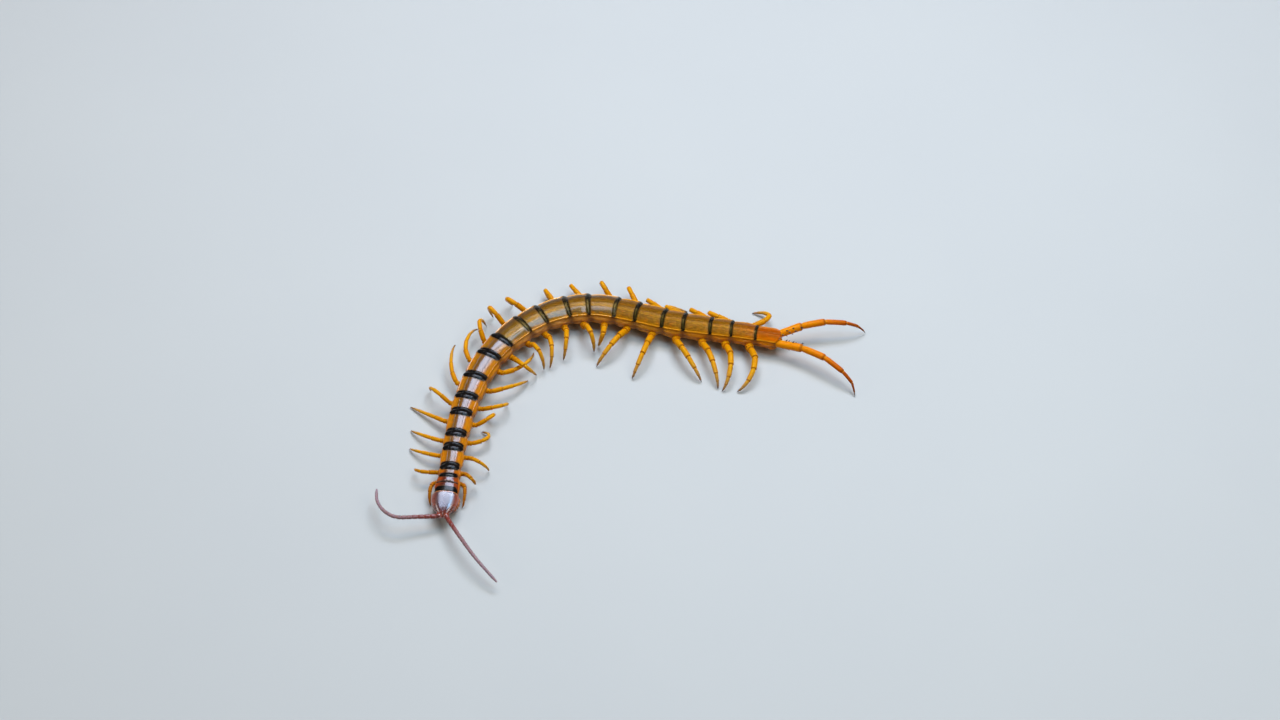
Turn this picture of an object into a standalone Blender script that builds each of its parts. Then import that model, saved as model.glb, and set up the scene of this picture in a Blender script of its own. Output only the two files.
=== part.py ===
"""Banded centipede (Scolopendra morsitans type), a life-size still model standing on z = 0.

Lengths are in millimetres and become metres where a mesh is made. The midline runs from the nose
to the tail. A place on the animal is (station, across, height): the distance along the midline,
the distance to the animal's own right, and the height over the floor.
"""

import math

import bmesh
import bpy
from mathutils import Vector

MM = 0.001
CURVE_STEPS = 8  # between two given points of a smooth curve

# Midline, seen from above: where the nose is, the way the body runs from it, and its bends.
NOSE = (-33.91, -21.73)
NOSE_HEADING = 85.4
ARCS = (  # (length, turn in degrees), head to tail
    (10, 0.6), (10, -3.5), (11, -9.5), (8, -13), (7, -14), (7, -17),
    (8, -24), (6, -19), (7, -4), (8, 7), (6, 2), (14, -4),
)

# Visible length of the head plate, and of each of the 21 leg-bearing segments behind it.
HEAD_LENGTH = 4.5
SEGMENT_LENGTHS = (
    4.2, 2.0, 4.4, 3.3, 5.0, 4.0, 5.1, 5.9, 4.4, 5.6, 4.4,
    5.4, 4.3, 5.5, 4.3, 5.4, 4.1, 5.2, 4.1, 4.8, 4.2,
)
GIRTH = (  # (segment, half width, belly height, back height)
    (1, 2.3, 1.4, 4.3), (2, 2.05, 1.35, 4.25), (5, 2.35, 1.3, 4.6), (9, 2.9, 1.2, 4.9),
    (13, 3.25, 1.2, 5.05), (17, 2.9, 1.25, 4.9), (20, 2.35, 1.4, 4.5), (21, 2.1, 1.5, 4.2),
)
RINGS_IN_SEGMENT = ((0.03, 0.9), (0.3, 1.0), (0.7, 1.0), (0.97, 0.93))  # (share of length, girth)
TRUNK_SIDES = 14
TRUNK_PIECES = ((1, 1),) + tuple((n, n + 1) for n in range(2, 21, 2))
GAP = 0.12

HEAD_PROFILE = (  # (station, half width, underside, top)
    (0.0, 0.5, 2.5, 2.95), (0.4, 0.98, 2.45, 3.3), (1.1, 1.58, 2.45, 3.7), (2.0, 2.15, 2.45, 4.05),
    (3.1, 2.55, 2.45, 4.25), (4.1, 2.55, 2.45, 4.3), (HEAD_LENGTH, 2.4, 2.45, 4.15),
)
THROAT_END = 7.0  # the first trunk length is shallow ahead of this, over the poison claws

FORCIPULE_SIDES = 8
FORCIPULE = (  # (station, across, height, radius), root to fang tip
    (6.4, 0.78, 1.65, 0.62), (5.3, 1.45, 1.6, 0.74), (4.2, 1.85, 1.55, 0.76), (3.1, 1.78, 1.55, 0.62),
    (2.15, 1.38, 1.5, 0.48), (1.5, 0.9, 1.5, 0.35), (1.1, 0.45, 1.45, 0.25),
)
EYE_PLACE = (1.3, 2.05, 3.05)  # (station, across, height)
EYE_RADII = (0.42, 0.16, 0.26)  # along, out and up
EYE_TILTS = (-75, -35, 0, 35, 75)  # its rings, in degrees
EYE_SIDES = 8

ANTENNA_RADII = (0.46, 0.26)
ANTENNA_RINGS = 22
ANTENNA_SIDES = 6
ANTENNAE = {  # places that the feeler passes: (station, across, height)
    "right": ((-0.15, 0.75, 2.85), (-0.9, 4.6, 3.3), (-1.6, 8.2, 3.8), (-0.4, 10.7, 3.9),
              (2.0, 12.3, 3.6), (5.0, 12.9, 2.9)),
    "left": ((-0.15, -0.7, 2.85), (-4.3, -3.5, 3.5), (-8.8, -7.0, 3.4), (-11.6, -9.9, 2.6),
             (-13.0, -11.5, 2.0)),
}

HIP_SHARES = ((1, 0.8), (14, 0.63), (20, 0.78))  # how far back along its segment a leg joins it
HIP_HEIGHT = 2.15
HIP_OUT = 0.12
HIP_STUB = 0.55  # the leg leaves the body square to it, over this length
LEG_LENGTHS = ((1, 5.4), (2, 7.0), (7, 10.0), (13, 10.4), (16, 12.0), (20, 12.4))  # (segment, length)
LEG_GIRTHS = ((1, 0.74), (6, 0.8), (12, 1.05), (16, 1.2), (20, 1.24))  # (segment, girth)
LEG_RINGS = (  # (share of the leg, radius at girth 1)
    (0.0, 0.62), (0.1, 0.52), (0.25, 0.54), (0.36, 0.44), (0.47, 0.47),
    (0.57, 0.37), (0.68, 0.4), (0.84, 0.32), (0.94, 0.27), (1.0, 0.25),
)
LEG_SIDES = 6
LEG_THINNEST = 0.25  # radius
LEG_STEPS = 24  # straight steps of a leg's path
KNEE_PULLS = ((0.2, 1.0), (0.85, 0.8))  # where the path is pulled up: (share of the reach, pull)
FEET = {  # segment: (forward of the hip, out from it, height, lean of the knee in degrees)
    "right": {
        1: (3.9, 0.55, 0.0, -25), 2: (-1.4, 4.5, 0.8, 45), 3: (-2.6, 6.5, 0.0, 45),
        4: (-3.2, 7.0, 0.0, 45), 5: (-3.8, 8.4, 0.0, 65), 6: (-3.6, 5.5, 0.0, 20),
        7: (-8.2, 3.8, 3.2, 60), 8: (-8.0, 3.2, 1.6, 60), 9: (-4.8, 3.9, 0.0, 20),
        10: (-0.8, 4.8, 0.0, 15), 11: (0.6, 4.9, 0.0, 28), 12: (0.0, 0.9, 0.0, 10),
        13: (-0.5, 1.5, 0.0, 60), 14: (1.0, 3.8, 0.0, 30), 15: (0.0, 1.5, 0.0, 40),
        16: (-0.5, 1.5, 0.0, 90), 17: (-0.5, 3.0, 0.0, 90), 18: (-0.5, 1.5, 0.0, 90),
        19: (0.5, 2.2, 0.0, 60), 20: (1.0, 5.4, 0.0, -75),
    },
    "left": {
        1: (3.9, 0.55, 0.0, -25), 2: (1.2, 2.5, 0.5, 20), 3: (1.2, 4.5, 0.0, 20),
        4: (-4.4, 1.5, 0.0, 70), 5: (-3.6, 1.5, 0.0, 45), 6: (-3.8, 4.0, 0.0, 45),
        7: (-6.2, 6.0, 0.0, 45), 8: (-8.0, 3.2, 1.0, 70), 9: (-0.4, 5.6, 0.0, 30),
        10: (1.2, 5.8, 0.0, 0), 11: (3.0, 6.6, 0.0, -15), 12: (2.3, 6.4, 0.0, -10),
        13: (-1.6, 5.6, 0.0, 0), 14: (0.4, 4.0, 0.0, -15), 15: (3.4, 9.3, 0.0, -10),
        16: (1.0, 10.4, 0.0, -10), 17: (-6.7, 8.1, 0.0, 10), 18: (-4.6, 9.7, 0.0, -10),
        19: (-0.9, 10.4, 0.0, -35), 20: (0.7, 10.2, 0.0, -55),
    },
}
FOOT_HEIGHT = 0.2
DRAWN_UP = range(12, 21)  # the right legs that are folded against the body, and are slighter
DRAWN_UP_LENGTH = 0.8
DRAWN_UP_GIRTH = 0.85

LAST_LEG_STEPS = 40
LAST_LEG_SIDES = 8
LAST_LEG_RINGS = (  # (share of the leg, radius)
    (0.0, 0.68), (0.07, 0.78), (0.25, 0.8), (0.3, 0.7), (0.48, 0.7),
    (0.54, 0.57), (0.7, 0.54), (0.76, 0.41), (0.88, 0.34), (1.0, 0.26),
)
LAST_LEGS = {  # joints of the long last pair: (station past the tail, across, height)
    "right": ((0.15, 1.05, 2.75), (4.8, 4.2, 3.6), (9.2, 5.9, 3.9), (13.1, 7.2, 3.0),
              (14.8, 7.8, 1.6), (15.7, 8.1, 0.2)),
    "left": ((0.15, -1.05, 2.75), (5.6, -1.9, 3.5), (10.5, -3.5, 3.7), (14.7, -5.5, 2.8),
             (16.6, -6.7, 1.6), (17.5, -8.3, 0.2)),
}

COLOURS = {  # (linear red, green, blue), roughness
    "head": ((0.16, 0.025, 0.012), 0.25),
    "eye": ((0.01, 0.008, 0.008), 0.15),
    "antenna": ((0.2, 0.07, 0.05), 0.5),
    "forcipule": ((0.55, 0.14, 0.02), 0.25),
    "trunk": ((0.3, 0.13, 0.02), 0.25),
    "leg": ((0.65, 0.3, 0.03), 0.35),
    "last_leg": ((0.6, 0.17, 0.02), 0.35),
}


def clear_scene():
    for item in list(bpy.data.objects):
        bpy.data.objects.remove(item)


def between(rows, place):
    """The values of a table of (place, value, ...) rows at a place, on straight lines between them."""
    for low, high in zip(rows, rows[1:]):
        if place <= high[0]:
            break
    share = min(1.0, max(0.0, (place - low[0]) / (high[0] - low[0])))
    return [a + (b - a) * share for a, b in zip(low[1:], high[1:])]


def midline(station):
    """The point (x, y) of the midline and the way it runs there, nose to tail, in radians."""
    x, y = NOSE
    heading = math.radians(NOSE_HEADING)
    if station < 0:
        return x + station * math.cos(heading), y + station * math.sin(heading), heading
    for number, (length, turn) in enumerate(ARCS):
        last = number == len(ARCS) - 1
        step = station if last else min(station, length)
        bend = math.radians(turn) * step / length
        chord = step * (math.sin(bend / 2) / (bend / 2) if bend else 1.0)
        x += chord * math.cos(heading + bend / 2)
        y += chord * math.sin(heading + bend / 2)
        heading += bend
        station -= step
        if station <= 0:
            break
    return x, y, heading


def place(station, across, height):
    """World point of a place on the animal, in millimetres."""
    x, y, heading = midline(station)
    return Vector((x - across * math.sin(heading), y + across * math.cos(heading), height))


def segment_span(number):
    """First and last station of a leg-bearing segment."""
    start = HEAD_LENGTH + sum(SEGMENT_LENGTHS[:number - 1])
    return start, start + SEGMENT_LENGTHS[number - 1]


def segment_girth(number, share):
    """(half width, belly, back) at a share of a segment's length."""
    return between(GIRTH, max(1.0, number - 0.5 + share))


def curve_through(points, count):
    """count points at even steps of a smooth curve through the given ones (Catmull-Rom)."""
    ends = [points[0] * 2 - points[1]] + list(points) + [points[-1] * 2 - points[-2]]
    fine = []
    for a, b, c, d in zip(ends, ends[1:], ends[2:], ends[3:]):
        for step in range(CURVE_STEPS):
            t = step / CURVE_STEPS
            fine.append(0.5 * (2 * b + (c - a) * t + (2 * a - 5 * b + 4 * c - d) * t ** 2
                               + (3 * b - a - 3 * c + d) * t ** 3))
    return resample(fine + [points[-1]], [i / (count - 1) for i in range(count)])


def resample(points, shares):
    """Points of a polyline at the given shares of its length."""
    reach = [0.0]
    for a, b in zip(points, points[1:]):
        reach.append(reach[-1] + (b - a).length)
    found = []
    for share in shares:
        goal = share * reach[-1]
        i = next((i for i in range(1, len(reach)) if reach[i] >= goal), len(reach) - 1)
        t = (goal - reach[i - 1]) / (reach[i] - reach[i - 1])
        found.append(points[i - 1].lerp(points[i], t))
    return found


def tube_rings(points, radii, sides, first_way=None):
    """Rings across a path that don't twist along it. The first one can face a way of its own."""
    ways = [(b - a).normalized() for a, b in zip(points, points[1:])]
    ways = [ways[0]] + [(a + b).normalized() for a, b in zip(ways, ways[1:])] + [ways[-1]]
    ways[0] = first_way or ways[0]
    side = ways[0].cross(Vector((0, 0, 1))).normalized()
    rings = []
    for point, way, radius in zip(points, ways, radii):
        side = (side - way * side.dot(way)).normalized()
        up = side.cross(way)
        turns = [2 * math.pi * (i + 0.5) / sides for i in range(sides)]
        rings.append([point + (side * math.cos(a) + up * math.sin(a)) * radius for a in turns])
    return rings


def body_ring(station, half_width, belly, back):
    """One ring across head or trunk: a domed back, rounded sides and a flatter belly."""
    margin = belly + 0.5 * (back - belly)
    ring = []
    for i in range(TRUNK_SIDES):
        turn = 2 * math.pi * i / TRUNK_SIDES
        c, s = math.cos(turn), math.sin(turn)
        across = half_width * math.copysign(abs(c) ** 0.85, c)
        rise = (back - margin) * s ** 0.9 if s > 0 else -(margin - belly) * abs(s) ** 0.6
        ring.append(place(station, across, margin + rise))
    return ring


def material(kind):
    made = bpy.data.materials.get(kind)
    if made:
        return made
    colour, roughness = COLOURS[kind]
    made = bpy.data.materials.new(kind)
    made.use_nodes = True
    shader = made.node_tree.nodes["Principled BSDF"]
    shader.inputs["Base Color"].default_value = (*colour, 1.0)
    shader.inputs["Roughness"].default_value = roughness
    shader.inputs["Metallic"].default_value = 0.0
    return made


def solid(name, rings, kind):
    """One closed body through a row of rings, with nothing of it under the floor."""
    shape = bmesh.new()
    rows = [[shape.verts.new((p.x * MM, p.y * MM, max(p.z, 0.0) * MM)) for p in ring] for ring in rings]
    for a, b in zip(rows, rows[1:]):
        for i in range(len(a)):
            j = (i + 1) % len(a)
            shape.faces.new((a[i], a[j], b[j], b[i]))
    shape.faces.new(reversed(rows[0]))
    shape.faces.new(rows[-1])
    bmesh.ops.recalc_face_normals(shape, faces=shape.faces)
    mesh = bpy.data.meshes.new(name)
    shape.to_mesh(mesh)
    shape.free()
    mesh.shade_smooth()
    mesh.set_sharp_from_angle(angle=math.radians(50))
    mesh.materials.append(material(kind))
    piece = bpy.data.objects.new(name, mesh)
    bpy.context.scene.collection.objects.link(piece)
    return piece


def make_head():
    solid("head", [body_ring(*row) for row in HEAD_PROFILE], "head")


def make_trunk(first, last):
    """A length of the trunk: each segment is a shallow barrel between two necks."""
    rings = []
    for number in range(first, last + 1):
        start, end = segment_span(number)
        for share, girth in RINGS_IN_SEGMENT:
            station = start + share * (end - start)
            if number == first and share == RINGS_IN_SEGMENT[0][0]:
                station = start + GAP / 2
            if number == last and share == RINGS_IN_SEGMENT[-1][0]:
                station = end - GAP / 2
            half_width, belly, back = segment_girth(number, share)
            middle = (belly + back) / 2
            rings.append((station, half_width * girth, middle + (belly - middle) * girth,
                          middle + (back - middle) * girth))
    if first == 1:
        rings = over_throat(rings)
    name = f"trunk_{first:02d}" if first == last else f"trunk_{first:02d}_{last:02d}"
    solid(name, [body_ring(*ring) for ring in rings], "trunk")


def over_throat(rings):
    """The first trunk length with its front part cut away below, clear of the poison claws."""
    underside = HEAD_PROFILE[-1][2]
    front = [(s, w, underside, back) for s, w, _, back in rings if s < THROAT_END]
    rear = [ring for ring in rings if ring[0] >= THROAT_END]
    width, belly, back = segment_girth(1, 0.5)
    step = [(THROAT_END - 0.1, width, underside, back), (THROAT_END, width, belly, back)]
    return front + step + rear


def make_eye(name, sign):
    """A low oval boss that stands for the group of four simple eyes."""
    station, across, height = EYE_PLACE
    along, out, up = EYE_RADII
    rings = []
    for tilt in EYE_TILTS:
        lift, size = math.sin(math.radians(tilt)), math.cos(math.radians(tilt))
        turns = [2 * math.pi * i / EYE_SIDES for i in range(EYE_SIDES)]
        rings.append([place(station + along * size * math.cos(a),
                            sign * (across + out * size * math.sin(a)),
                            height + up * lift) for a in turns])
    solid(name, rings, "eye")


def make_forcipule(name, sign):
    points = [place(s, sign * across, height) for s, across, height, _ in FORCIPULE]
    solid(name, tube_rings(points, [row[3] for row in FORCIPULE], FORCIPULE_SIDES), "forcipule")


def make_antenna(name, places):
    points = curve_through([place(*row) for row in places], ANTENNA_RINGS)
    thick, thin = ANTENNA_RADII
    radii = [thick + (thin - thick) * (i / (ANTENNA_RINGS - 1)) ** 0.8 for i in range(ANTENNA_RINGS)]
    heading = midline(0)[2]
    ahead = Vector((-math.cos(heading), -math.sin(heading), 0))
    solid(name, tube_rings(points, radii, ANTENNA_SIDES, ahead), "antenna")


def leg_path(hip, foot, lean, length):
    """A bent path of a given length from hip to foot, its knee up and leaning toward the head."""
    chord = foot - hip
    flat = Vector((chord.x, chord.y, 0)).normalized()
    up = (Vector((0, 0, 1)) - chord.normalized() * chord.normalized().z).normalized()
    knee_way = up * math.cos(math.radians(abs(lean))) + flat.cross(Vector((0, 0, 1))) * \
        math.sin(math.radians(lean))
    low, high = 0.0, length
    for _ in range(LEG_STEPS):
        rise = (low + high) / 2
        pulled = [hip + chord * share + knee_way * rise * pull for share, pull in KNEE_PULLS]
        path = [bezier((hip, *pulled, foot), i / LEG_STEPS) for i in range(LEG_STEPS + 1)]
        reach = sum((b - a).length for a, b in zip(path, path[1:]))
        low, high = (rise, high) if reach < length else (low, rise)
    return path


def bezier(controls, t):
    a, b, c, d = controls
    s = 1 - t
    return a * s ** 3 + b * (3 * s * s * t) + c * (3 * s * t * t) + d * t ** 3


def leg_size(side, number):
    """Length and girth of a leg."""
    length, girth = between(LEG_LENGTHS, number)[0], between(LEG_GIRTHS, number)[0]
    if side == "right" and number in DRAWN_UP:
        return length * DRAWN_UP_LENGTH, girth * DRAWN_UP_GIRTH
    return length, girth


def make_leg(side, number):
    sign = 1 if side == "right" else -1
    forward, out, height, lean = FEET[side][number]
    start, end = segment_span(number)
    hip_share = between(HIP_SHARES, number)[0]
    station = start + hip_share * (end - start)
    x, y, heading = midline(station)
    ahead = Vector((-math.cos(heading), -math.sin(heading), 0))
    outward = Vector((-math.sin(heading), math.cos(heading), 0)) * sign
    half_width = segment_girth(number, hip_share)[0]
    hip = Vector((x, y, HIP_HEIGHT)) + outward * (half_width + HIP_OUT)
    foot = hip + ahead * forward + outward * out
    foot.z = height + FOOT_HEIGHT
    length, girth = leg_size(side, number)
    path = [hip] + leg_path(hip + outward * HIP_STUB, foot, lean * -sign, length - HIP_STUB)
    points = resample(path, [share for share, _ in LEG_RINGS])
    radii = [max(LEG_THINNEST, radius * girth) for _, radius in LEG_RINGS]
    rings = tube_rings(points, radii, LEG_SIDES, outward)
    solid(f"leg_{side}_{number:02d}", rings, "leg")


def make_last_leg(side):
    tail = segment_span(21)[1]
    points = curve_through([place(tail + s, across, z) for s, across, z in LAST_LEGS[side]],
                           LAST_LEG_STEPS)
    points = resample(points, [share for share, _ in LAST_LEG_RINGS])
    heading = midline(tail)[2]
    backward = Vector((math.cos(heading), math.sin(heading), 0))
    rings = tube_rings(points, [radius for _, radius in LAST_LEG_RINGS], LAST_LEG_SIDES, backward)
    solid(f"leg_{side}_21", rings, "last_leg")


def main():
    clear_scene()
    make_head()
    for first, last in TRUNK_PIECES:
        make_trunk(first, last)
    for side, sign in (("right", 1), ("left", -1)):
        make_eye(f"eye_{side}", sign)
        make_forcipule(f"forcipule_{side}", sign)
        make_antenna(f"antenna_{side}", ANTENNAE[side])
        for number in FEET[side]:
            make_leg(side, number)
        make_last_leg(side)


main()
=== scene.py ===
"""Looks of a banded centipede, life size: its shell plates, skin, legs, feelers and head.

Lengths are in millimetres and become metres where a mesh is made. A place on the animal is
(station, across, height): the distance along the midline from the nose, the distance to the
animal's own right, and the height over the floor. The first tables repeat the solids' own.
"""

import math
import random
from functools import lru_cache

import bmesh
import bpy
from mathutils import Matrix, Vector, noise


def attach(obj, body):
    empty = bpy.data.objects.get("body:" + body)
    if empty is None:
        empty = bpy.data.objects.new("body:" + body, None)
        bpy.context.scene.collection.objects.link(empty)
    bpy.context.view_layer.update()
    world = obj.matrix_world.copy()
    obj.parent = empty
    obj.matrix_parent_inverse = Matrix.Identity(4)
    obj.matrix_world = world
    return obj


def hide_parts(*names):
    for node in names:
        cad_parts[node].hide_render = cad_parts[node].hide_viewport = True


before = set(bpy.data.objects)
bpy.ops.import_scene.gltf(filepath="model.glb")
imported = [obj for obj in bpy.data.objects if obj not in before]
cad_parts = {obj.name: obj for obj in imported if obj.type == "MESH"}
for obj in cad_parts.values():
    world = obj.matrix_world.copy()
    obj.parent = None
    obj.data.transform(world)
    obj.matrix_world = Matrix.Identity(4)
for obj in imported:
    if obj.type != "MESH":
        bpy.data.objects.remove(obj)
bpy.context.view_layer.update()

MM = 0.001
UP = Vector((0, 0, 1))
SIDES = (("right", 1), ("left", -1))

# ---- The body's course and girth, as in the solids ----

NOSE = (-33.91, -21.73)
NOSE_HEADING = 85.4
ARCS = (  # (length, turn in degrees), head to tail
    (10, 0.6), (10, -3.5), (11, -9.5), (8, -13), (7, -14), (7, -17),
    (8, -24), (6, -19), (7, -4), (8, 7), (6, 2), (14, -4),
)
HEAD_LENGTH = 4.5
SEGMENT_LENGTHS = (
    4.2, 2.0, 4.4, 3.3, 5.0, 4.0, 5.1, 5.9, 4.4, 5.6, 4.4,
    5.4, 4.3, 5.5, 4.3, 5.4, 4.1, 5.2, 4.1, 4.8, 4.2,
)
LAST_SEGMENT = len(SEGMENT_LENGTHS)
TAIL = HEAD_LENGTH + sum(SEGMENT_LENGTHS)
GIRTH = (  # (segment, half width, belly height, back height)
    (1, 2.3, 1.4, 4.3), (2, 2.05, 1.35, 4.25), (5, 2.35, 1.3, 4.6), (9, 2.9, 1.2, 4.9),
    (13, 3.25, 1.2, 5.05), (17, 2.9, 1.25, 4.9), (20, 2.35, 1.4, 4.5), (21, 2.1, 1.5, 4.2),
)
TRUNK_PIECES = ((1, 1),) + tuple((n, n + 1) for n in range(2, LAST_SEGMENT, 2))

# ---- Limbs, as in the solids ----

FORCIPULE = (  # (station, across, height, radius), root to fang tip
    (6.4, 0.78, 1.65, 0.62), (5.3, 1.45, 1.6, 0.74), (4.2, 1.85, 1.55, 0.76), (3.1, 1.78, 1.55, 0.62),
    (2.15, 1.38, 1.5, 0.48), (1.5, 0.9, 1.5, 0.35), (1.1, 0.45, 1.45, 0.25),
)
ANTENNA_RADII = (0.46, 0.24)
ANTENNAE = {  # places that the feeler passes: (station, across, height)
    "right": ((-0.15, 0.75, 2.85), (-0.9, 4.6, 3.3), (-1.6, 8.2, 3.8), (-0.4, 10.7, 3.9),
              (2.0, 12.3, 3.6), (5.0, 12.9, 2.9)),
    "left": ((-0.15, -0.7, 2.85), (-4.3, -3.5, 3.5), (-8.8, -7.0, 3.4), (-11.6, -9.9, 2.6),
             (-13.0, -11.5, 2.0)),
}
HIP_SHARES = ((1, 0.8), (14, 0.63), (20, 0.78))
HIP_HEIGHT = 2.15
HIP_OUT = 0.12
HIP_STUB = 0.55
LEG_LENGTHS = ((1, 5.4), (2, 7.0), (7, 10.0), (13, 10.4), (16, 12.0), (20, 12.4))
LEG_GIRTHS = ((1, 0.74), (6, 0.8), (12, 1.05), (16, 1.2), (20, 1.24))
LEG_STEPS = 24
HALVINGS = 24  # rounds of the search for the knee's height
KNEE_PULLS = ((0.2, 1.0), (0.85, 0.8))
FEET = {  # segment: (forward of the hip, out from it, height, lean of the knee in degrees)
    "right": {
        1: (3.9, 0.55, 0.0, -25), 2: (-1.4, 4.5, 0.8, 45), 3: (-2.6, 6.5, 0.0, 45),
        4: (-3.2, 7.0, 0.0, 45), 5: (-3.8, 8.4, 0.0, 65), 6: (-3.6, 5.5, 0.0, 20),
        7: (-8.2, 3.8, 3.2, 60), 8: (-8.0, 3.2, 1.6, 60), 9: (-4.8, 3.9, 0.0, 20),
        10: (-0.8, 4.8, 0.0, 15), 11: (0.6, 4.9, 0.0, 28), 12: (0.0, 0.9, 0.0, 10),
        13: (-0.5, 1.5, 0.0, 60), 14: (1.0, 3.8, 0.0, 30), 15: (0.0, 1.5, 0.0, 40),
        16: (-0.5, 1.5, 0.0, 90), 17: (-0.5, 3.0, 0.0, 90), 18: (-0.5, 1.5, 0.0, 90),
        19: (0.5, 2.2, 0.0, 60), 20: (1.0, 5.4, 0.0, -75),
    },
    "left": {
        1: (3.9, 0.55, 0.0, -25), 2: (1.2, 2.5, 0.5, 20), 3: (1.2, 4.5, 0.0, 20),
        4: (-4.4, 1.5, 0.0, 70), 5: (-3.6, 1.5, 0.0, 45), 6: (-3.8, 4.0, 0.0, 45),
        7: (-6.2, 6.0, 0.0, 45), 8: (-8.0, 3.2, 1.0, 70), 9: (-0.4, 5.6, 0.0, 30),
        10: (1.2, 5.8, 0.0, 0), 11: (3.0, 6.6, 0.0, -15), 12: (2.3, 6.4, 0.0, -10),
        13: (-1.6, 5.6, 0.0, 0), 14: (0.4, 4.0, 0.0, -15), 15: (3.4, 9.3, 0.0, -10),
        16: (1.0, 10.4, 0.0, -10), 17: (-6.7, 8.1, 0.0, 10), 18: (-4.6, 9.7, 0.0, -10),
        19: (-0.9, 10.4, 0.0, -35), 20: (0.7, 10.2, 0.0, -55),
    },
}
FOOT_HEIGHT = 0.2
CLAW_HEIGHT = 0.02  # of the claws' points over the floor
FLOOR_GAP = 0.01  # the least height of a point of a claw or a spur
DRAWN_UP = range(12, 21)  # the right legs that are folded against the body, and are slighter
DRAWN_UP_LENGTH = 0.8
DRAWN_UP_GIRTH = 0.85
LAST_LEGS = {  # joints of the long last pair: (station past the tail, across, height)
    "right": ((0.15, 1.05, 2.75), (4.8, 4.2, 3.6), (9.2, 5.9, 3.9), (13.1, 7.2, 3.0),
              (14.8, 7.8, 1.6), (15.7, 8.1, 0.2)),
    "left": ((0.15, -1.05, 2.75), (5.6, -1.9, 3.5), (10.5, -3.5, 3.7), (14.7, -5.5, 2.8),
             (16.6, -6.7, 1.6), (17.5, -8.3, 0.2)),
}

# ---- Back plates ----

PLATE_SHARE = 0.885  # half width of a back plate over the body's
PLATE_THICK = 0.1
UNDER_SHARE = 0.985  # width of its under face over the upper one's
PLATE_TUCK = 0.3  # how far its front reaches under the plate before
T1_TUCK = 0.15  # the same, for the first plate
PLATE_OVERHANG = 0.16  # how far its rear edge reaches over the next
PLATE_HOLLOW = 0.26  # how far the middle of its rear edge lies ahead of the corners
PLATE_CORNER = 0.3  # how far the corners themselves are rounded off
PLATE_GIRTH = 3.0  # the body's half width that these two are for
TAIL_REACH = 0.55  # how far the last plate's middle reaches past its segment
TAIL_SLOPE = 0.75  # how far its corners lie ahead of that
FURROW = 0.38  # where the two lengthwise furrows run, as a share of the half width
RIM_FURROW = 0.915
RIM = 0.968
FURROWED = range(3, 21)
FIRST_RIMMED = 5
FIRST_GOLDEN = 10
FIRST_DULL = 15
BANDS = (  # (segment, dark band at the plate's rear, dark strip at the front of the next plate)
    (1, 0.95, 0.12), (2, 1.2, 0.75), (3, 1.3, 0.8), (8, 1.25, 0.65), (9, 1.15, 0.45), (10, 1.0, 0.3),
    (12, 0.95, 0.15), (13, 0.95, 0.08), (14, 0.8, 0.0), (17, 0.74, 0.0), (20, 0.52, 0.0),
    (LAST_SEGMENT, -1.0, 0.0),
)
BAND_CUSHION = 0.15  # how high a dark band swells, over its length
BAND_ROUND = 0.35  # how much of its length a band loses at the plate's side edges
BAND_BLUR = 0.07  # over which a band's edge changes colour
T1_STRIP = 1.45  # the dark strip at the front of the first plate; the head's covers where it starts
T1_LINE = 2.45  # the dark line across the first plate, from its front edge
T1_LINE_HALF = 0.11
T1_ROWS = (  # its extra rows of points, at the strip and the line
    0.25, 0.29, 0.31, 0.48, 0.515, 0.525, 0.535, 0.545, 0.555, 0.565, 0.575, 0.6,
)

# ---- Head ----

HEAD_PLATE = (  # (station, half width, middle height, side height)
    (-0.12, 0.36, 2.9, 2.72), (0.0, 0.56, 3.04, 2.74), (0.4, 1.02, 3.34, 2.82), (1.1, 1.62, 3.64, 2.92),
    (2.0, 2.16, 3.92, 3.0), (3.1, 2.52, 4.2, 3.1), (4.1, 2.54, 4.4, 3.25), (4.6, 2.4, 4.47, 3.4),
)
HEAD_CAPSULE = (  # (station, half width, underside, top)
    (-0.3, 0.2, 2.62, 2.72), (-0.24, 0.42, 2.5, 2.85), (-0.05, 0.62, 2.4, 2.98), (0.4, 0.96, 2.36, 3.2),
    (1.1, 1.53, 2.36, 3.48), (2.0, 2.07, 2.36, 3.72), (3.1, 2.43, 2.36, 3.95), (4.1, 2.45, 2.36, 4.12),
    (4.5, 2.2, 2.4, 4.1), (4.85, 1.9, 2.45, 3.85), (5.2, 1.5, 2.5, 3.7),
)
HEAD_THICK = 0.11
HEAD_UNDER_SHARE = 0.97  # width of its under face over the upper one's
HEAD_MARGIN = 0.4  # length of the sloping margin at the plate's rear
HEAD_HOLLOW = 0.15  # how far the corners of its rear edge lie ahead of the middle
OCELLI = (  # (station, share of the half width, radius)
    (0.92, 0.84, 0.15), (1.3, 0.77, 0.16), (1.28, 0.94, 0.15), (1.68, 0.87, 0.15),
)


def between(rows, spot):
    """The values of a table of (place, value, ...) rows at a place, on straight lines between them."""
    for low, high in zip(rows, rows[1:]):
        if spot <= high[0]:
            break
    share = min(1.0, max(0.0, (spot - low[0]) / (high[0] - low[0])))
    return [a + (b - a) * share for a, b in zip(low[1:], high[1:])]


def curve_between(rows, spot):
    """The same, on a smooth curve through the rows."""
    i = next((i for i in range(1, len(rows)) if spot <= rows[i][0]), len(rows) - 1)
    a, b, c, d = rows[max(i - 2, 0)], rows[i - 1], rows[i], rows[min(i + 1, len(rows) - 1)]
    span = c[0] - b[0]
    t = min(1.0, max(0.0, (spot - b[0]) / span))
    found = []
    for k in range(1, len(b)):
        rise_b, rise_c = (c[k] - a[k]) / (c[0] - a[0]) * span, (d[k] - b[k]) / (d[0] - b[0]) * span
        found.append(b[k] + t * rise_b + t * t * (3 * (c[k] - b[k]) - 2 * rise_b - rise_c)
                     + t ** 3 * (2 * (b[k] - c[k]) + rise_b + rise_c))
    return found


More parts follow.
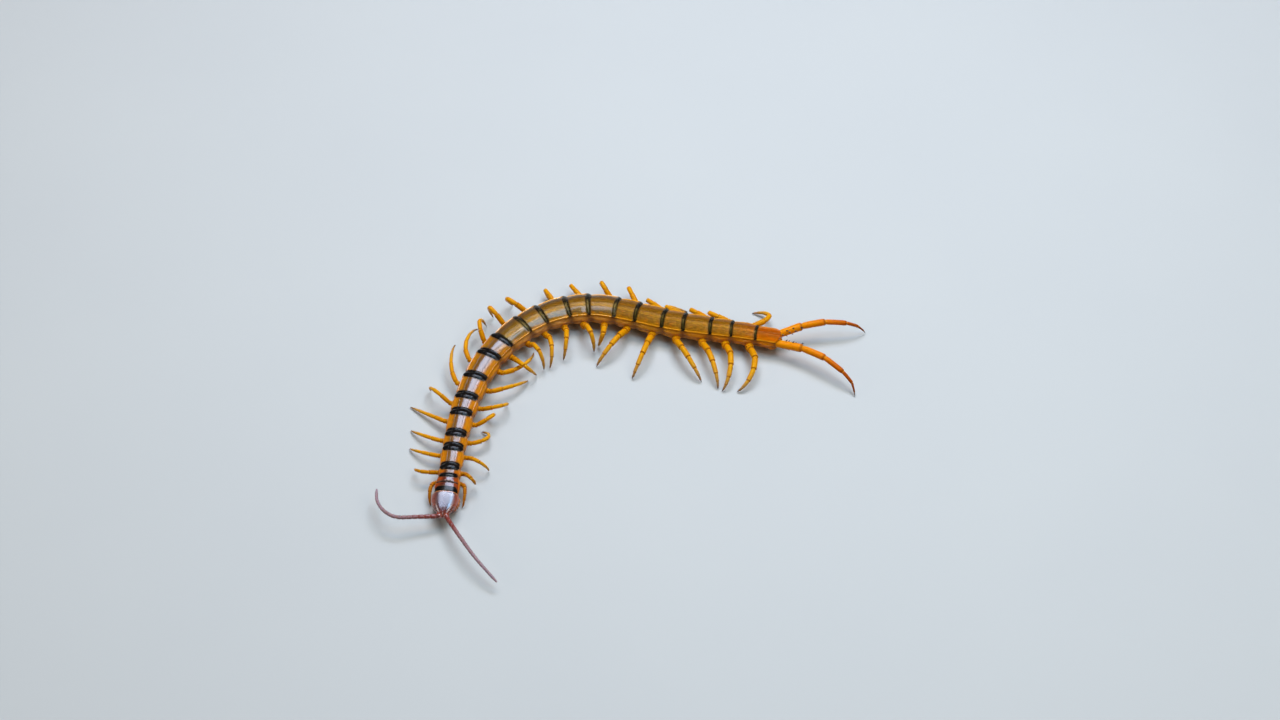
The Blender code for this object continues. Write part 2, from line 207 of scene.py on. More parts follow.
def evenly(first, last, steps):
    """Numbers from first to last in equal steps."""
    return [first + (last - first) * (i / steps) for i in range(steps + 1)]


def smooth(low, high, value):
    """0 below low, 1 above high, and an easy rise between them."""
    share = min(1.0, max(0.0, (value - low) / (high - low)))
    return share * share * (3 - 2 * share)


def peak(value, centre, spread):
    """A bell of height 1 round a centre."""
    return math.exp(-((value - centre) / spread) ** 2)


def power(value, exponent):
    """A power that keeps the sign."""
    return math.copysign(abs(value) ** exponent, value)


@lru_cache(maxsize=None)
def corners(sides):
    """The turn of each corner of a ring, with its cosine and sine."""
    turns = [2 * math.pi * i / sides for i in range(sides)]
    return [(turn, math.cos(turn), math.sin(turn)) for turn in turns]


@lru_cache(maxsize=None)
def midline(station):
    """The point (x, y) of the midline and the way it runs there, nose to tail, in radians."""
    x, y = NOSE
    heading = math.radians(NOSE_HEADING)
    if station < 0:
        return x + station * math.cos(heading), y + station * math.sin(heading), heading
    for number, (length, turn) in enumerate(ARCS):
        last = number == len(ARCS) - 1
        step = station if last else min(station, length)
        bend = math.radians(turn) * step / length
        chord = step * (math.sin(bend / 2) / (bend / 2) if bend else 1.0)
        x += chord * math.cos(heading + bend / 2)
        y += chord * math.sin(heading + bend / 2)
        heading += bend
        station -= step
        if station <= 0:
            break
    return x, y, heading


def place(station, across, height):
    """World point of a place on the animal, in millimetres."""
    x, y, heading = midline(station)
    return Vector((x - across * math.sin(heading), y + across * math.cos(heading), height))


def ways(station):
    """Unit vectors toward the head and toward the animal's right at a station."""
    heading = midline(station)[2]
    return (Vector((-math.cos(heading), -math.sin(heading), 0)),
            Vector((-math.sin(heading), math.cos(heading), 0)))


@lru_cache(maxsize=None)
def segment_span(number):
    """First and last station of a leg-bearing segment."""
    start = HEAD_LENGTH + sum(SEGMENT_LENGTHS[:number - 1])
    return start, start + SEGMENT_LENGTHS[number - 1]


def segment_girth(number, share):
    """(half width, belly, back) at a share of a segment's length."""
    return between(GIRTH, max(1.0, number - 0.5 + share))


def hip_place(number):
    """Where a segment's legs join it: the share of its length, and the station."""
    start, end = segment_span(number)
    share = between(HIP_SHARES, number)[0]
    return share, start + share * (end - start)


def golden(number):
    """0 for the front plates, 1 for the golden ones behind them, which are rounder."""
    return smooth(8, 11, number)


def trunk_node(number):
    """The solid that holds a segment."""
    first, last = next(pair for pair in TRUNK_PIECES if number in pair)
    return f"trunk_{first:02d}" if first == last else f"trunk_{first:02d}_{last:02d}"


TRUNK_NODES = [trunk_node(first) for first, _ in TRUNK_PIECES]


def resample(points, shares):
    """Points of a polyline at the given shares of its length."""
    reach = [0.0]
    for a, b in zip(points, points[1:]):
        reach.append(reach[-1] + (b - a).length)
    found = []
    for share in shares:
        goal = share * reach[-1]
        i = next((i for i in range(1, len(reach)) if reach[i] >= goal), len(reach) - 1)
        t = (goal - reach[i - 1]) / (reach[i] - reach[i - 1])
        found.append(points[i - 1].lerp(points[i], t))
    return found


def curve_through(points, steps=10):
    """A smooth curve through the given points (Catmull-Rom)."""
    ends = [points[0] * 2 - points[1]] + list(points) + [points[-1] * 2 - points[-2]]
    fine = []
    for a, b, c, d in zip(ends, ends[1:], ends[2:], ends[3:]):
        for step in range(steps):
            t = step / steps
            fine.append(0.5 * (2 * b + (c - a) * t + (2 * a - 5 * b + 4 * c - d) * t ** 2
                               + (3 * b - a - 3 * c + d) * t ** 3))
    return fine + [points[-1]]


def bezier(controls, t):
    a, b, c, d = controls
    s = 1 - t
    return a * s ** 3 + b * (3 * s * s * t) + c * (3 * s * t * t) + d * t ** 3


def add_object(name, data):
    made = bpy.data.objects.new(name, data)
    bpy.context.scene.collection.objects.link(made)
    return made


# ---- Meshes ----


def spread(rows, width):
    """One number for each point. A row is a list of them, or one number for all its points."""
    return [v for row in rows for v in (row if isinstance(row, list) else [row] * width)]


class Shape:
    """The shells of one piece, with numbers at their points for the material to read."""

    def __init__(self):
        self.points = []
        self.faces = []
        self.values = {}

    def add(self, points, faces, values):
        """Adds a shell. Its faces count from its own first point, and each value has one number a point."""
        first = len(self.points)
        self.points.extend(points)
        self.faces.extend(tuple(first + i for i in face) for face in faces)
        for name, numbers in values.items():
            self.values.setdefault(name, []).extend(numbers)

    def tube(self, rings, **values):
        """A closed shell through a row of rings. A value is one number, or a row for each ring."""
        count, width = len(rings), len(rings[0])
        faces = []
        for a in range(0, (count - 1) * width, width):
            for j in range(width):
                k = (j + 1) % width
                faces.append((a + j, a + k, a + width + k, a + width + j))
        faces.append(tuple(reversed(range(width))))
        faces.append(tuple(range((count - 1) * width, count * width)))
        self.add([p for ring in rings for p in ring], faces, {
            name: spread(value if isinstance(value, list) else [value] * count, width)
            for name, value in values.items()})

    def plate(self, grid, columns, narrow, thick, **values):
        """A closed plate on a grid of places. Its other face is narrower, and lower by thick.

        columns are the places across it, from -1 to 1. A value has a row for each of the grid's.
        """
        width, size = len(columns), len(columns) * len(grid)
        points = [place(*spot) for row in grid for spot in row]
        points += [place(s, a * narrow, h - thick) for row in grid for s, a, h in row]
        faces = []
        for row in range(0, size - width, width):
            for a in range(row, row + width - 1):
                b = a + size
                faces.append((a, a + 1, a + width + 1, a + width))
                faces.append((b, b + width, b + width + 1, b + 1))
        edge = [*range(width - 1), *range(width - 1, size - 1, width)]
        edge += [*range(size - 1, size - width, -1), *range(size - width, 0, -width)]
        faces += [(b, a, a + size, b + size) for a, b in zip(edge, edge[1:] + edge[:1])]
        values = {"station": [[s for s, _, _ in row] for row in grid],
                  "side": [[a for _, a, _ in row] for row in grid],
                  "across": [columns] * len(grid), **values}
        self.add(points, faces, {name: spread(rows, width) * 2 for name, rows in values.items()})

    def finish(self, name, look, slot, *nodes, sharp=55):
        """The piece itself: it rides on the frame and stands for the named solids."""
        mesh = bpy.data.meshes.new(name)
        mesh.from_pydata([p * MM for p in self.points], [], self.faces)
        for key, numbers in self.values.items():
            mesh.attributes.new(key, "FLOAT", "POINT").data.foreach_set("value", numbers)
        work = bmesh.new()
        work.from_mesh(mesh)
        bmesh.ops.recalc_face_normals(work, faces=work.faces)
        work.to_mesh(mesh)
        work.free()
        mesh.shade_smooth()
        mesh.set_sharp_from_angle(angle=math.radians(sharp))
        mesh.materials.append(look)
        piece = add_object(name, mesh)
        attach(piece, "root")
        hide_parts(*nodes)
        return piece


def round_ring(centre, side, up, radius, sides, flat=1.0):
    """A ring of points; flat squeezes it along up."""
    return [centre + side * (radius * c) + up * (radius * flat * s) for _, c, s in corners(sides)]


def square_ring(station, half_width, low, high, sides, dent=0.0, groove=0.0):
    """A squarish ring across the body: dent hollows its cheeks, groove its underside's middle."""
    ring = []
    for _, c, s in corners(sides):
        height = (low + high) / 2 + (high - low) / 2 * power(s, 0.7)
        height += groove * peak(c, 0.0, 0.08) * (s < 0)
        ring.append(place(station, (half_width - dent * peak(s, 0.25, 0.15)) * power(c, 0.8), height))
    return ring


def spine_taper(t):
    return max(0.04, (1 - t) ** 0.8)


def claw_taper(t):
    return max(0.05, 1 - t ** 1.6)


def spike(shape, root, tip, radius, sides, shares, taper=spine_taper, bow=UP * 0):
    """A pointed shell from root to tip, bowed out at its middle by a vector.

    shares has a number for each ring: how far along a whole claw's colours it lies.
    """
    way = (tip - root).normalized()
    side = way.orthogonal().normalized()
    up = side.cross(way)
    rings = []
    for t in evenly(0.0, 1.0, len(shares) - 1):
        centre = root.lerp(tip, t) + bow * (4 * t * (1 - t))
        rings.append(round_ring(centre, side, up, radius * taper(t), sides))
    shape.tube(rings, share=shares)


# Rings of one article of a limb: (share of its length, girth, share of pale joint skin)
ARTICLE = (
    (-0.07, 0.66, 1.0), (0.0, 0.7, 1.0), (0.03, 0.84, 0.4), (0.09, 0.95, 0.0), (0.2, 1.0, 0.0),
    (0.4, 1.01, 0.0), (0.6, 1.01, 0.0), (0.78, 1.03, 0.0), (0.9, 1.08, 0.0), (0.96, 1.1, 0.0),
    (0.99, 1.03, 0.0), (1.0, 0.86, 0.2), (0.985, 0.6, 1.0),
)
BEAD = (
    (-0.06, 0.7, 1.0), (0.0, 0.78, 1.0), (0.06, 0.9, 0.3), (0.2, 0.98, 0.0), (0.5, 1.02, 0.0),
    (0.8, 1.03, 0.0), (0.93, 0.98, 0.0), (1.0, 0.84, 0.4), (0.99, 0.6, 1.0),
)
ARTICLE_RIM = [0.8 * peak(t, 0.97, 0.035) for t, _, _ in ARTICLE]  # its share of the rim's colour
PATH_STEPS = 200


def limb(shape, path, joints, girth, sides, first_way, profile=ARTICLE, curve=0.35, flat=1.0, **values):
    """Articles along a path, each set into the end of the one before.

    girth gives the radius at a share of the path. Returns a frame for each article: its first
    point, its last point, its side and up ways, and the radius at its end.
    """
    fine = resample(path, evenly(0.0, 1.0, PATH_STEPS))
    side = first_way.cross(UP).normalized()
    frames = []
    for a, b in zip(joints, joints[1:]):
        start, end = fine[round(a * PATH_STEPS)], fine[round(b * PATH_STEPS)]
        way = (end - start).normalized()
        side = (side - way * side.dot(way)).normalized()
        up = side.cross(way)
        rings = []
        for t, size, _ in profile:
            share = min(1.0, max(0.0, a + (b - a) * t))
            bent = fine[round(share * PATH_STEPS)]
            centre = start.lerp(end, t).lerp(bent, curve if 0 < t < 1 else 0)
            rings.append(round_ring(centre, side, up, girth(share) * size, sides, flat))
        shape.tube(rings, share=[a + (b - a) * t for t, _, _ in profile],
                   bare=[pale for _, _, pale in profile], **values)
        frames.append((start, end, side.copy(), up.copy(), girth(b)))
    return frames


# ---- Materials ----


class Look:
    """A node material, built call by call. Every argument is a socket or a plain value."""

    def __init__(self, name, roughness=0.3, shine=0.5, tint=(1.0, 1.0, 1.0), coat=0.0,
                 coat_roughness=0.08, glow=0.0, glow_reach=0.4):
        self.material = bpy.data.materials.new(name)
        self.material.use_nodes = True
        self.tree = self.material.node_tree
        self.colour = None
        self.set({"Roughness": roughness, "Specular IOR Level": shine, "Specular Tint": tint,
                  "Coat Weight": coat, "Coat Roughness": coat_roughness, "Subsurface Weight": glow,
                  "Subsurface Scale": glow_reach * MM, "Subsurface Radius": (1.0, 0.45, 0.15)})

    def set(self, values):
        """Gives the shader its inputs."""
        for name, value in values.items():
            self.feed(self.tree.nodes["Principled BSDF"].inputs[name], value)

    def feed(self, socket, value):
        if isinstance(value, bpy.types.NodeSocket):
            self.tree.links.new(value, socket)
        elif socket.type == "RGBA" and len(value) == 3:
            socket.default_value = (*value, 1.0)
        else:
            socket.default_value = value

    def node(self, kind, inputs, output=0, **settings):
        made = self.tree.nodes.new("ShaderNode" + kind)
        for key, value in settings.items():
            setattr(made, key, value)
        for key, value in inputs.items():
            self.feed(made.inputs[key], value)
        return made.outputs[output]

    def value(self, name):
        """A number that the mesh keeps at its points."""
        return self.node("Attribute", {}, "Fac", attribute_name=name)

    def math(self, operation, a, b=0.0):
        return self.node("Math", {0: a, 1: b}, operation=operation)

    def times(self, a, b):
        return self.math("MULTIPLY", a, b)

    def shifted(self, value, cloud, reach):
        """A value that a noise moves to and fro."""
        return self.math("ADD", value, self.times(self.math("SUBTRACT", cloud, 0.5), reach))

    def from_line(self, value, line):
        """How far a value is from a line's."""
        return self.math("ABSOLUTE", self.math("SUBTRACT", value, line))

    def out(self):
        """How far out a point lies: 0 at the middle of the back, 1 at the margin."""
        return self.math("ABSOLUTE", self.value("across"))

    def spot(self):
        """The station over 100, for a ramp of colours along the whole body."""
        return self.times(self.value("station"), 0.01)

    def step(self, value, low, high, first=0.0, last=1.0):
        """An easy change from first to last as a value goes from low to high."""
        return self.node("MapRange", {0: value, 1: low, 2: high, 3: first, 4: last},
                         interpolation_type="SMOOTHSTEP")

    def mix(self, share, a, b, blend="MIX"):
        return self.node("Mix", {0: share, 6: a, 7: b}, 2, data_type="RGBA", blend_type=blend)

    def tone(self, share, colour, blend="MIX"):
        """Lays a share of another colour over the colour so far."""
        self.colour = self.mix(share, self.colour, colour, blend)

    def ramp(self, value, *stops):
        """Colours at places from 0 to 1."""
        made = self.tree.nodes.new("ShaderNodeValToRGB")
        band = made.color_ramp
        while len(band.elements) < len(stops):
            band.elements.new(0.5)
        for element, (spot, colour) in zip(band.elements, stops):
            element.position = spot
            element.color = (*colour, 1.0)
        self.feed(made.inputs[0], value)
        return made.outputs[0]

    def noise(self, vector, detail, distortion):
        return self.node("TexNoise", {"Vector": vector, "Scale": 1.0, "Detail": detail,
                                      "Distortion": distortion})

    def streaks(self, along, across, detail=3.0, distortion=0.0):
        """A noise that follows the body, with so many waves to the millimetre each way."""
        vector = self.node("CombineXYZ", {0: self.times(self.value("station"), along),
                                          1: self.times(self.value("side"), across)})
        return self.noise(vector, detail, distortion)

    def clouds(self, per_mm, detail=3.0, distortion=0.0):
        """A noise in space."""
        coordinates = self.node("TexCoord", {}, "Object")
        vector = self.node("VectorMath", {0: coordinates, 1: (per_mm / MM,) * 3}, operation="MULTIPLY")
        return self.noise(vector, detail, distortion)

    def bump(self, height, depth, under=None):
        """Relief of a depth in millimetres, over another relief if one is given."""
        inputs = {"Height": height, "Distance": depth * MM, "Strength": 1.0}
        if under is not None:
            inputs["Normal"] = under
        return self.node("Bump", inputs)

    def paint(self, roughness=None, relief=None):
        """The finished material, in the colour so far."""
        given = {"Base Color": self.colour, "Roughness": roughness, "Normal": relief}
        self.set({name: value for name, value in given.items() if value is not None})
        return self.material


AMBER = (1.0, 0.7, 0.12)
COAT_IOR = 1.7  # of the back plates
HEAD_IOR = 1.75
BELLY_FURROW = 0.45  # where a belly plate's furrows run, as a share of its half width
DARK = (0.006, 0.004, 0.003)
MAHOGANY = (0.075, 0.010, 0.005)
PLATE_MIDDLES = (  # (station / 100, colour)
    (0.045, (0.08, 0.010, 0.005)), (0.085, (0.12, 0.014, 0.005)), (0.1, (0.2, 0.075, 0.004)),
    (0.34, (0.17, 0.065, 0.004)), (0.45, (0.17, 0.07, 0.004)), (0.62, (0.22, 0.085, 0.003)),
    (0.9, (0.26, 0.095, 0.002)), (0.955, (0.34, 0.075, 0.001)), (0.975, (0.36, 0.065, 0.001)),
)
PLATE_SIDES = (
    (0.045, (0.2, 0.022, 0.004)), (0.085, (0.4, 0.065, 0.003)), (0.1, (0.6, 0.19, 0.002)),
    (0.34, (0.56, 0.19, 0.002)), (0.45, (0.36, 0.13, 0.003)), (0.62, (0.34, 0.13, 0.003)),
    (0.9, (0.4, 0.14, 0.002)), (0.955, (0.5, 0.13, 0.001)), (0.975, (0.56, 0.13, 0.001)),
)
SKIN_COLOURS = (
    (0.05, (0.5, 0.11, 0.003)), (0.12, (0.66, 0.21, 0.002)), (0.36, (0.56, 0.18, 0.003)),
    (0.48, (0.5, 0.2, 0.04)), (0.75, (0.56, 0.21, 0.01)), (0.97, (0.6, 0.16, 0.002)),
)


def plate_look(name, coat, shine, tint, metallic, slope_shade):
    """Back plates: dark to golden middles, orange sides, black bands.

    coat is how glossy they are at the middle and on the slopes, metallic how much they gleam like
    metal, and slope_shade how much painted shade darkens their slopes between middle and margin.
    """
    look = Look(name, shine=shine, tint=tint, coat_roughness=0.16 - 0.06 * metallic, glow=0.1,
                glow_reach=0.3)
    spot, out = look.spot(), look.out()
    worn = look.streaks(0.5 + 0.7 * metallic, 7.0 - 1.5 * metallic, 5.0, 0.3 + 0.5 * metallic)
    clouds = look.streaks(1.1, 1.3, 3.0, 0.6)
    reach = look.shifted(out, clouds, 0.3)
    look.colour = look.mix(look.step(reach, 0.3, 0.8), look.ramp(spot, *PLATE_MIDDLES),
                           look.ramp(spot, *PLATE_SIDES))
    look.tone(look.step(worn, 0.42, 0.62, 0.0, 0.3 + 0.2 * metallic), (0.3, 0.2, 0.12), "MULTIPLY")
    look.tone(look.step(clouds, 0.45, 0.75, 0.0, 0.3), (0.95, 0.5, 0.12), "OVERLAY")
    # painted shade: the slopes between the middle and the margin are darkened, as if turned from the light
    slope_shade_mask = look.times(look.step(reach, 0.34, 0.5, 0.0, slope_shade), look.step(reach, 0.72, 0.86, 1.0, 0.0))
    look.tone(slope_shade_mask, (0.07, 0.04, 0.02))
    margin = look.times(look.step(out, 0.84, 0.93, 0.0, 0.8), look.step(spot, 0.4, 0.5))
    look.tone(margin, (0.7, 0.27, 0.008))
    vessel = look.step(out, 0.02, 0.16, 0.4, 0.0)
    look.tone(vessel, (0.3, 0.22, 0.15), "MULTIPLY")
    furrow = look.step(look.from_line(out, FURROW), 0.006, 0.022, 0.75, 0.0)
    look.tone(look.times(furrow, look.value("furrows")), (0.03, 0.015, 0.008))
    edge = look.shifted(look.value("edge"), look.streaks(2.2, 2.2), 0.14)
    look.tone(look.step(edge, 0.0, 0.4, 0.55, 0.0), (0.1, 0.05, 0.02))
    off_band = (edge, -BAND_BLUR, BAND_BLUR)
    look.tone(look.step(*off_band, 1.0, 0.0), DARK)
    gloss = look.times(look.step(*off_band, 0.3, 1.0), look.step(out, 0.28, 0.44, *coat))
    look.set({"Coat IOR": COAT_IOR, "Coat Weight": gloss,
              "Metallic": look.step(*off_band, 0.0, 0.12 * metallic)})
    grain = look.streaks(1.2, 9.0)
    wrinkles = look.bump(look.streaks(3.4, 1.6, 3.0, 1.2), 0.08 * metallic)
    relief = look.bump(grain, 0.012 + 0.025 * metallic, wrinkles)
    return look.paint(look.step(grain, 0.3, 0.8, 0.14, 0.26), relief)


def skin_look():
    look = Look("trunk_skin", shine=0.2, tint=AMBER, coat=0.15, coat_roughness=0.2, glow=0.2, glow_reach=0.5)
    folds = look.streaks(1.0, 2.6, 4.0, 0.8)
    look.colour = look.ramp(look.spot(), *SKIN_COLOURS)
    # painted shade: darker in the hollows of the folds' relief
    look.tone(look.step(folds, 0.5, 0.25, 0.0, 0.55), (0.4, 0.17, 0.09), "MULTIPLY")
    # painted shade: darker where the skin lies deep in its folds, grooves and waists
    look.tone(look.step(look.value("crease"), 0.0, 1.0, 0.0, 0.75), (0.16, 0.06, 0.02))
    # painted highlight: paler pink on the crests of the folds' relief
    look.tone(look.step(folds, 0.55, 0.8, 0.0, 0.35), (0.9, 0.55, 0.3))
    relief = look.bump(folds, 0.05, look.bump(look.clouds(6.0, 2.0), 0.012))
    return look.paint(look.step(folds, 0.3, 0.7, 0.5, 0.34), relief)


def belly_look():
    look = Look("belly_plate", coat=0.4, coat_roughness=0.15, glow=0.15)
    clouds, out = look.streaks(0.9, 1.4, 4.0, 0.4), look.out()
    look.colour = look.mix(look.step(out, 0.3, 1.0), (0.42, 0.22, 0.06), (0.62, 0.3, 0.05))
    look.tone(look.step(clouds, 0.4, 0.7, 0.0, 0.5), (0.5, 0.3, 0.14), "MULTIPLY")
    look.tone(look.step(look.from_line(out, BELLY_FURROW), 0.008, 0.03, 0.7, 0.0), (0.1, 0.05, 0.02))
    return look.paint(look.step(clouds, 0.3, 0.7, 0.26, 0.4), look.bump(look.clouds(6.0), 0.01))


def limb_look(name, stops, joint_colour, rim_colour):
    """Translucent articles: colours along the limb, pale joints and darker rims."""
    look = Look(name, shine=0.14, tint=AMBER, coat=0.03, coat_roughness=0.12, glow=0.3, glow_reach=0.5)
    clouds = look.clouds(1.6, 4.0, 0.5)
    look.colour = look.ramp(look.shifted(look.value("share"), clouds, 0.12), *stops)
    look.tone(look.step(clouds, 0.5, 0.8, 0.0, 0.4), (0.62, 0.42, 0.25), "MULTIPLY")
    look.tone(look.times(look.value("ruddy"), 0.8), rim_colour)
    look.tone(look.value("rim"), rim_colour)
    look.tone(look.times(look.value("bare"), 0.8), joint_colour)
    relief = look.bump(look.clouds(9.0, 2.0), 0.008, look.bump(clouds, 0.02))
    return look.paint(look.step(clouds, 0.3, 0.7, 0.3, 0.44), relief)


def leg_look():
    return limb_look("leg_shell", (
        (0.0, (0.58, 0.2, 0.001)), (0.3, (0.62, 0.23, 0.001)), (0.6, (0.68, 0.28, 0.003)),
        (0.8, (0.56, 0.26, 0.03)), (0.93, (0.34, 0.18, 0.07)), (1.0, (0.08, 0.04, 0.02)),
    ), (0.66, 0.28, 0.01), (0.34, 0.09, 0.003))


def last_leg_look():
    return limb_look("last_leg_shell", (
        (0.0, (0.76, 0.24, 0.001)), (0.3, (0.72, 0.21, 0.001)), (0.55, (0.62, 0.14, 0.001)),
        (0.74, (0.44, 0.075, 0.002)), (0.9, (0.28, 0.055, 0.008)), (1.0, (0.1, 0.03, 0.01)),
    ), (0.66, 0.26, 0.01), (0.3, 0.06, 0.003))


def antenna_look():
    look = Look("antenna_shell", coat=0.1, coat_roughness=0.2, glow=0.2, glow_reach=0.4)
    fine, share = look.clouds(14.0, 2.0), look.value("share")
    look.colour = look.ramp(share, (0.0, (0.2, 0.022, 0.010)), (0.2, (0.22, 0.035, 0.022)),
                            (0.36, (0.27, 0.12, 0.11)), (1.0, (0.36, 0.23, 0.25)))
    look.tone(look.times(look.value("bare"), 0.6), (0.4, 0.15, 0.1))
    look.tone(look.step(fine, 0.4, 0.8, 0.0, 0.4), (0.5, 0.4, 0.38), "MULTIPLY")
    return look.paint(look.step(share, 0.22, 0.36, 0.28, 0.62), look.bump(fine, 0.015))


def down_look():
    look = Look("antenna_down", roughness=0.6)
    look.colour = look.mix(look.clouds(3.0), (0.2, 0.07, 0.055), (0.42, 0.22, 0.18))
    return look.paint()


def head_look():
    look = Look("head_shell", shine=1.0, tint=(0.86, 0.92, 1.0), coat=0.4, coat_roughness=0.25, glow=0.1,
                glow_reach=0.3)
    look.set({"IOR": HEAD_IOR})
    clouds, station, edge = look.clouds(1.1, 4.0, 0.6), look.value("station"), look.value("edge")
    reach = look.shifted(look.out(), clouds, 0.4)
    look.colour = look.mix(look.step(reach, 0.5, 1.0), MAHOGANY, (0.34, 0.05, 0.008))
    look.tone(look.step(station, 0.2, 1.6, 0.6, 0.0), (0.22, 0.03, 0.008))
    look.tone(look.step(clouds, 0.5, 0.8, 0.0, 0.5), (0.5, 0.4, 0.4), "MULTIPLY")
    look.tone(look.step(edge, 0.3, 0.45, 0.8, 0.0), (0.03, 0.006, 0.004))
    look.tone(look.step(edge, 0.15, 0.22, 0.9, 0.0), (0.55, 0.15, 0.005))
    pits = look.step(look.clouds(9.0, 1.0), 0.6, 0.72)
    rough = look.times(look.step(clouds, 0.3, 0.7, 0.26, 0.36), look.step(station, 1.0, 2.6, 0.5, 1.0))
    return look.paint(rough, look.bump(pits, -0.004, look.bump(clouds, 0.012)))


def jaw_look():
    """The poison claws and the plate between them: orange-red, with black fangs."""
    look = Look("poison_claw_shell", coat=0.6, coat_roughness=0.1, glow=0.2)
    clouds = look.clouds(1.2, 4.0, 0.5)
    look.colour = look.ramp(
        look.value("share"), (0.0, (0.5, 0.12, 0.012)), (0.5, (0.6, 0.16, 0.012)),
        (0.68, (0.42, 0.09, 0.012)), (0.8, (0.07, 0.015, 0.008)), (1.0, (0.012, 0.008, 0.007)))
    look.tone(look.step(clouds, 0.45, 0.8, 0.0, 0.5), (0.5, 0.3, 0.2), "MULTIPLY")
    look.tone(look.times(look.value("bare"), 0.7), (0.66, 0.3, 0.08))
    relief = look.bump(look.clouds(8.0), 0.008, look.bump(clouds, 0.03))
    return look.paint(look.step(clouds, 0.3, 0.7, 0.2, 0.34), relief)


def claw_look():
    """Claws, spurs and spines: amber at the root, black at the point."""
    look = Look("claw_tip", coat=0.5, coat_roughness=0.1)
    clouds = look.clouds(6.0, 2.0)
    look.colour = look.ramp(look.shifted(look.value("share"), clouds, 0.2), (0.0, (0.3, 0.12, 0.03)),
                            (0.35, (0.09, 0.035, 0.015)), (0.7, (0.014, 0.01, 0.008)))
    return look.paint(look.step(clouds, 0.3, 0.7, 0.2, 0.32))


def eye_look():
    look = Look("eye", coat=1.0, coat_roughness=0.03)
    clouds = look.clouds(12.0)
    black = look.mix(clouds, (0.008, 0.006, 0.006), (0.03, 0.02, 0.018))
    look.colour = look.mix(look.step(look.value("share"), 0.25, 0.6), (0.16, 0.05, 0.02), black)
    return look.paint(look.step(clouds, 0.3, 0.7, 0.1, 0.18))


# ---- Trunk ----


PLATE_ALONG = (  # shares of a plate's length, closer together at its bands
    0.0, 0.02, 0.05, 0.08, 0.105, 0.13, 0.155, 0.18, 0.205, 0.23, 0.27, 0.34, 0.42, 0.5, 0.58,
    0.66, 0.7, 0.73, 0.76, 0.79, 0.82, 0.85, 0.88, 0.91, 0.94, 0.96, 0.975, 0.99, 1.0,
)
HALF_ACROSS = sorted({  # shares of its half width, closer together at the furrows and the rim
    *evenly(0.0, 1.0, 14), RIM, 0.985, 0.995,
    *(c + d for c in (FURROW, RIM_FURROW) for d in (-0.028, -0.012, 0.0, 0.012, 0.028)),
})
PLATE_ACROSS = [-u for u in reversed(HALF_ACROSS[1:])] + HALF_ACROSS


def band_lengths(number):
    """How long the dark band at a plate's rear is, and the dark strip at its front."""
    return between(BANDS, number)[0], between(BANDS, number - 1)[1] if number > 1 else T1_STRIP


def cushion(along, length):
    """Height of a swelling at a distance along its length."""
    if length <= 0 or not 0 < along < length:
        return 0.0
    return BAND_CUSHION * length * (1 - (2 * along / length - 1) ** 2)


def plate_point(number, u, v):
    """Place on a back plate's upper face, and how far it is from the front and rear edges."""
    start, end = segment_span(number)
    out = abs(u)
    size = segment_girth(number, 0.5)[0] / PLATE_GIRTH
    front = start - (T1_TUCK if number == 1 else PLATE_TUCK)
    rear = end + PLATE_OVERHANG + PLATE_HOLLOW * size * (out ** 2 - 0.4) \
        - PLATE_CORNER * size * max(0.0, (out - 0.84) / 0.16) ** 2
    if number == LAST_SEGMENT:
        rear = end + TAIL_REACH - TAIL_SLOPE * out ** 1.7
    station = front + (rear - front) * v
    from_front, from_rear = station - front, rear - station
    half_width, belly, back = segment_girth(number, v)
    flare = 0.93 + 0.07 * v + 0.035 * math.sin(math.pi * v)
    flare -= 0.07 * (1 - smooth(0.0, 0.9, from_front)) + 0.05 * (1 - smooth(0.0, 0.55, from_rear))
    if number == 1:
        flare = 0.9 + 0.16 * math.sin(math.pi * min(1.0, 0.25 + 0.75 * v)) - 0.05 * v
    gold = golden(number)
    drop = (0.225 + 0.03 * gold) * (back - belly)
    barrel = 0.03 + 0.1 * gold
    rise = -drop * out ** (2.3 - 0.3 * gold) + 0.16 * (v - 0.5) + barrel * (1 - (2 * v - 1) ** 2)
    rise -= 0.2 * (1 - smooth(0.0, 0.55, from_front))
    band, strip = band_lengths(number)
    rise += cushion(from_rear - 0.04, band - 0.04)
    if number > 1:
        rise += cushion(from_front - PLATE_TUCK - 0.2, strip - 0.2)
    if number in FURROWED:
        rise += 0.01 * (1 - smooth(0.0, FURROW, out)) - 0.02 * peak(out, FURROW, 0.012)
    rims = min(1.0, max(0.0, (number - FIRST_RIMMED + 1) / 4))
    rise += rims * (0.07 * peak(out, RIM, 0.02) - 0.05 * peak(out, RIM_FURROW, 0.02))
    if number == 1:
        rise -= 0.09 * peak(from_front, T1_LINE, 0.12)
    if number == LAST_SEGMENT:
        rise -= 0.12 * peak(u, 0.0, 0.1) * smooth(0.3, 0.9, v)
    return station, u * half_width * PLATE_SHARE * flare, back + rise, from_front, from_rear


def make_back_plate(number, look):
    band, strip = band_lengths(number)
    grid, edges = [], []
    for v in sorted(PLATE_ALONG + T1_ROWS) if number == 1 else PLATE_ALONG:
        grid.append([])
        edges.append([])
        for u in PLATE_ACROSS:
            *spot, from_front, from_rear = plate_point(number, u, v)
            shrink = 1 - BAND_ROUND * smooth(0.8, 1.0, abs(u))
            edge = min(from_rear - band * shrink, from_front - strip * shrink - PLATE_TUCK * (number > 1))
            if number == 1:
                edge = min(edge, abs(from_front - T1_LINE) - T1_LINE_HALF)
            grid[-1].append(spot)
            edges[-1].append(edge)
    shape = Shape()
    shape.plate(grid, PLATE_ACROSS, UNDER_SHARE, PLATE_THICK, edge=edges,
                furrows=[1.0 if number in FURROWED else 0.0] * len(grid))
    shape.finish(f"back_plate_{number:02d}", look, "trunk_shell", trunk_node(number))


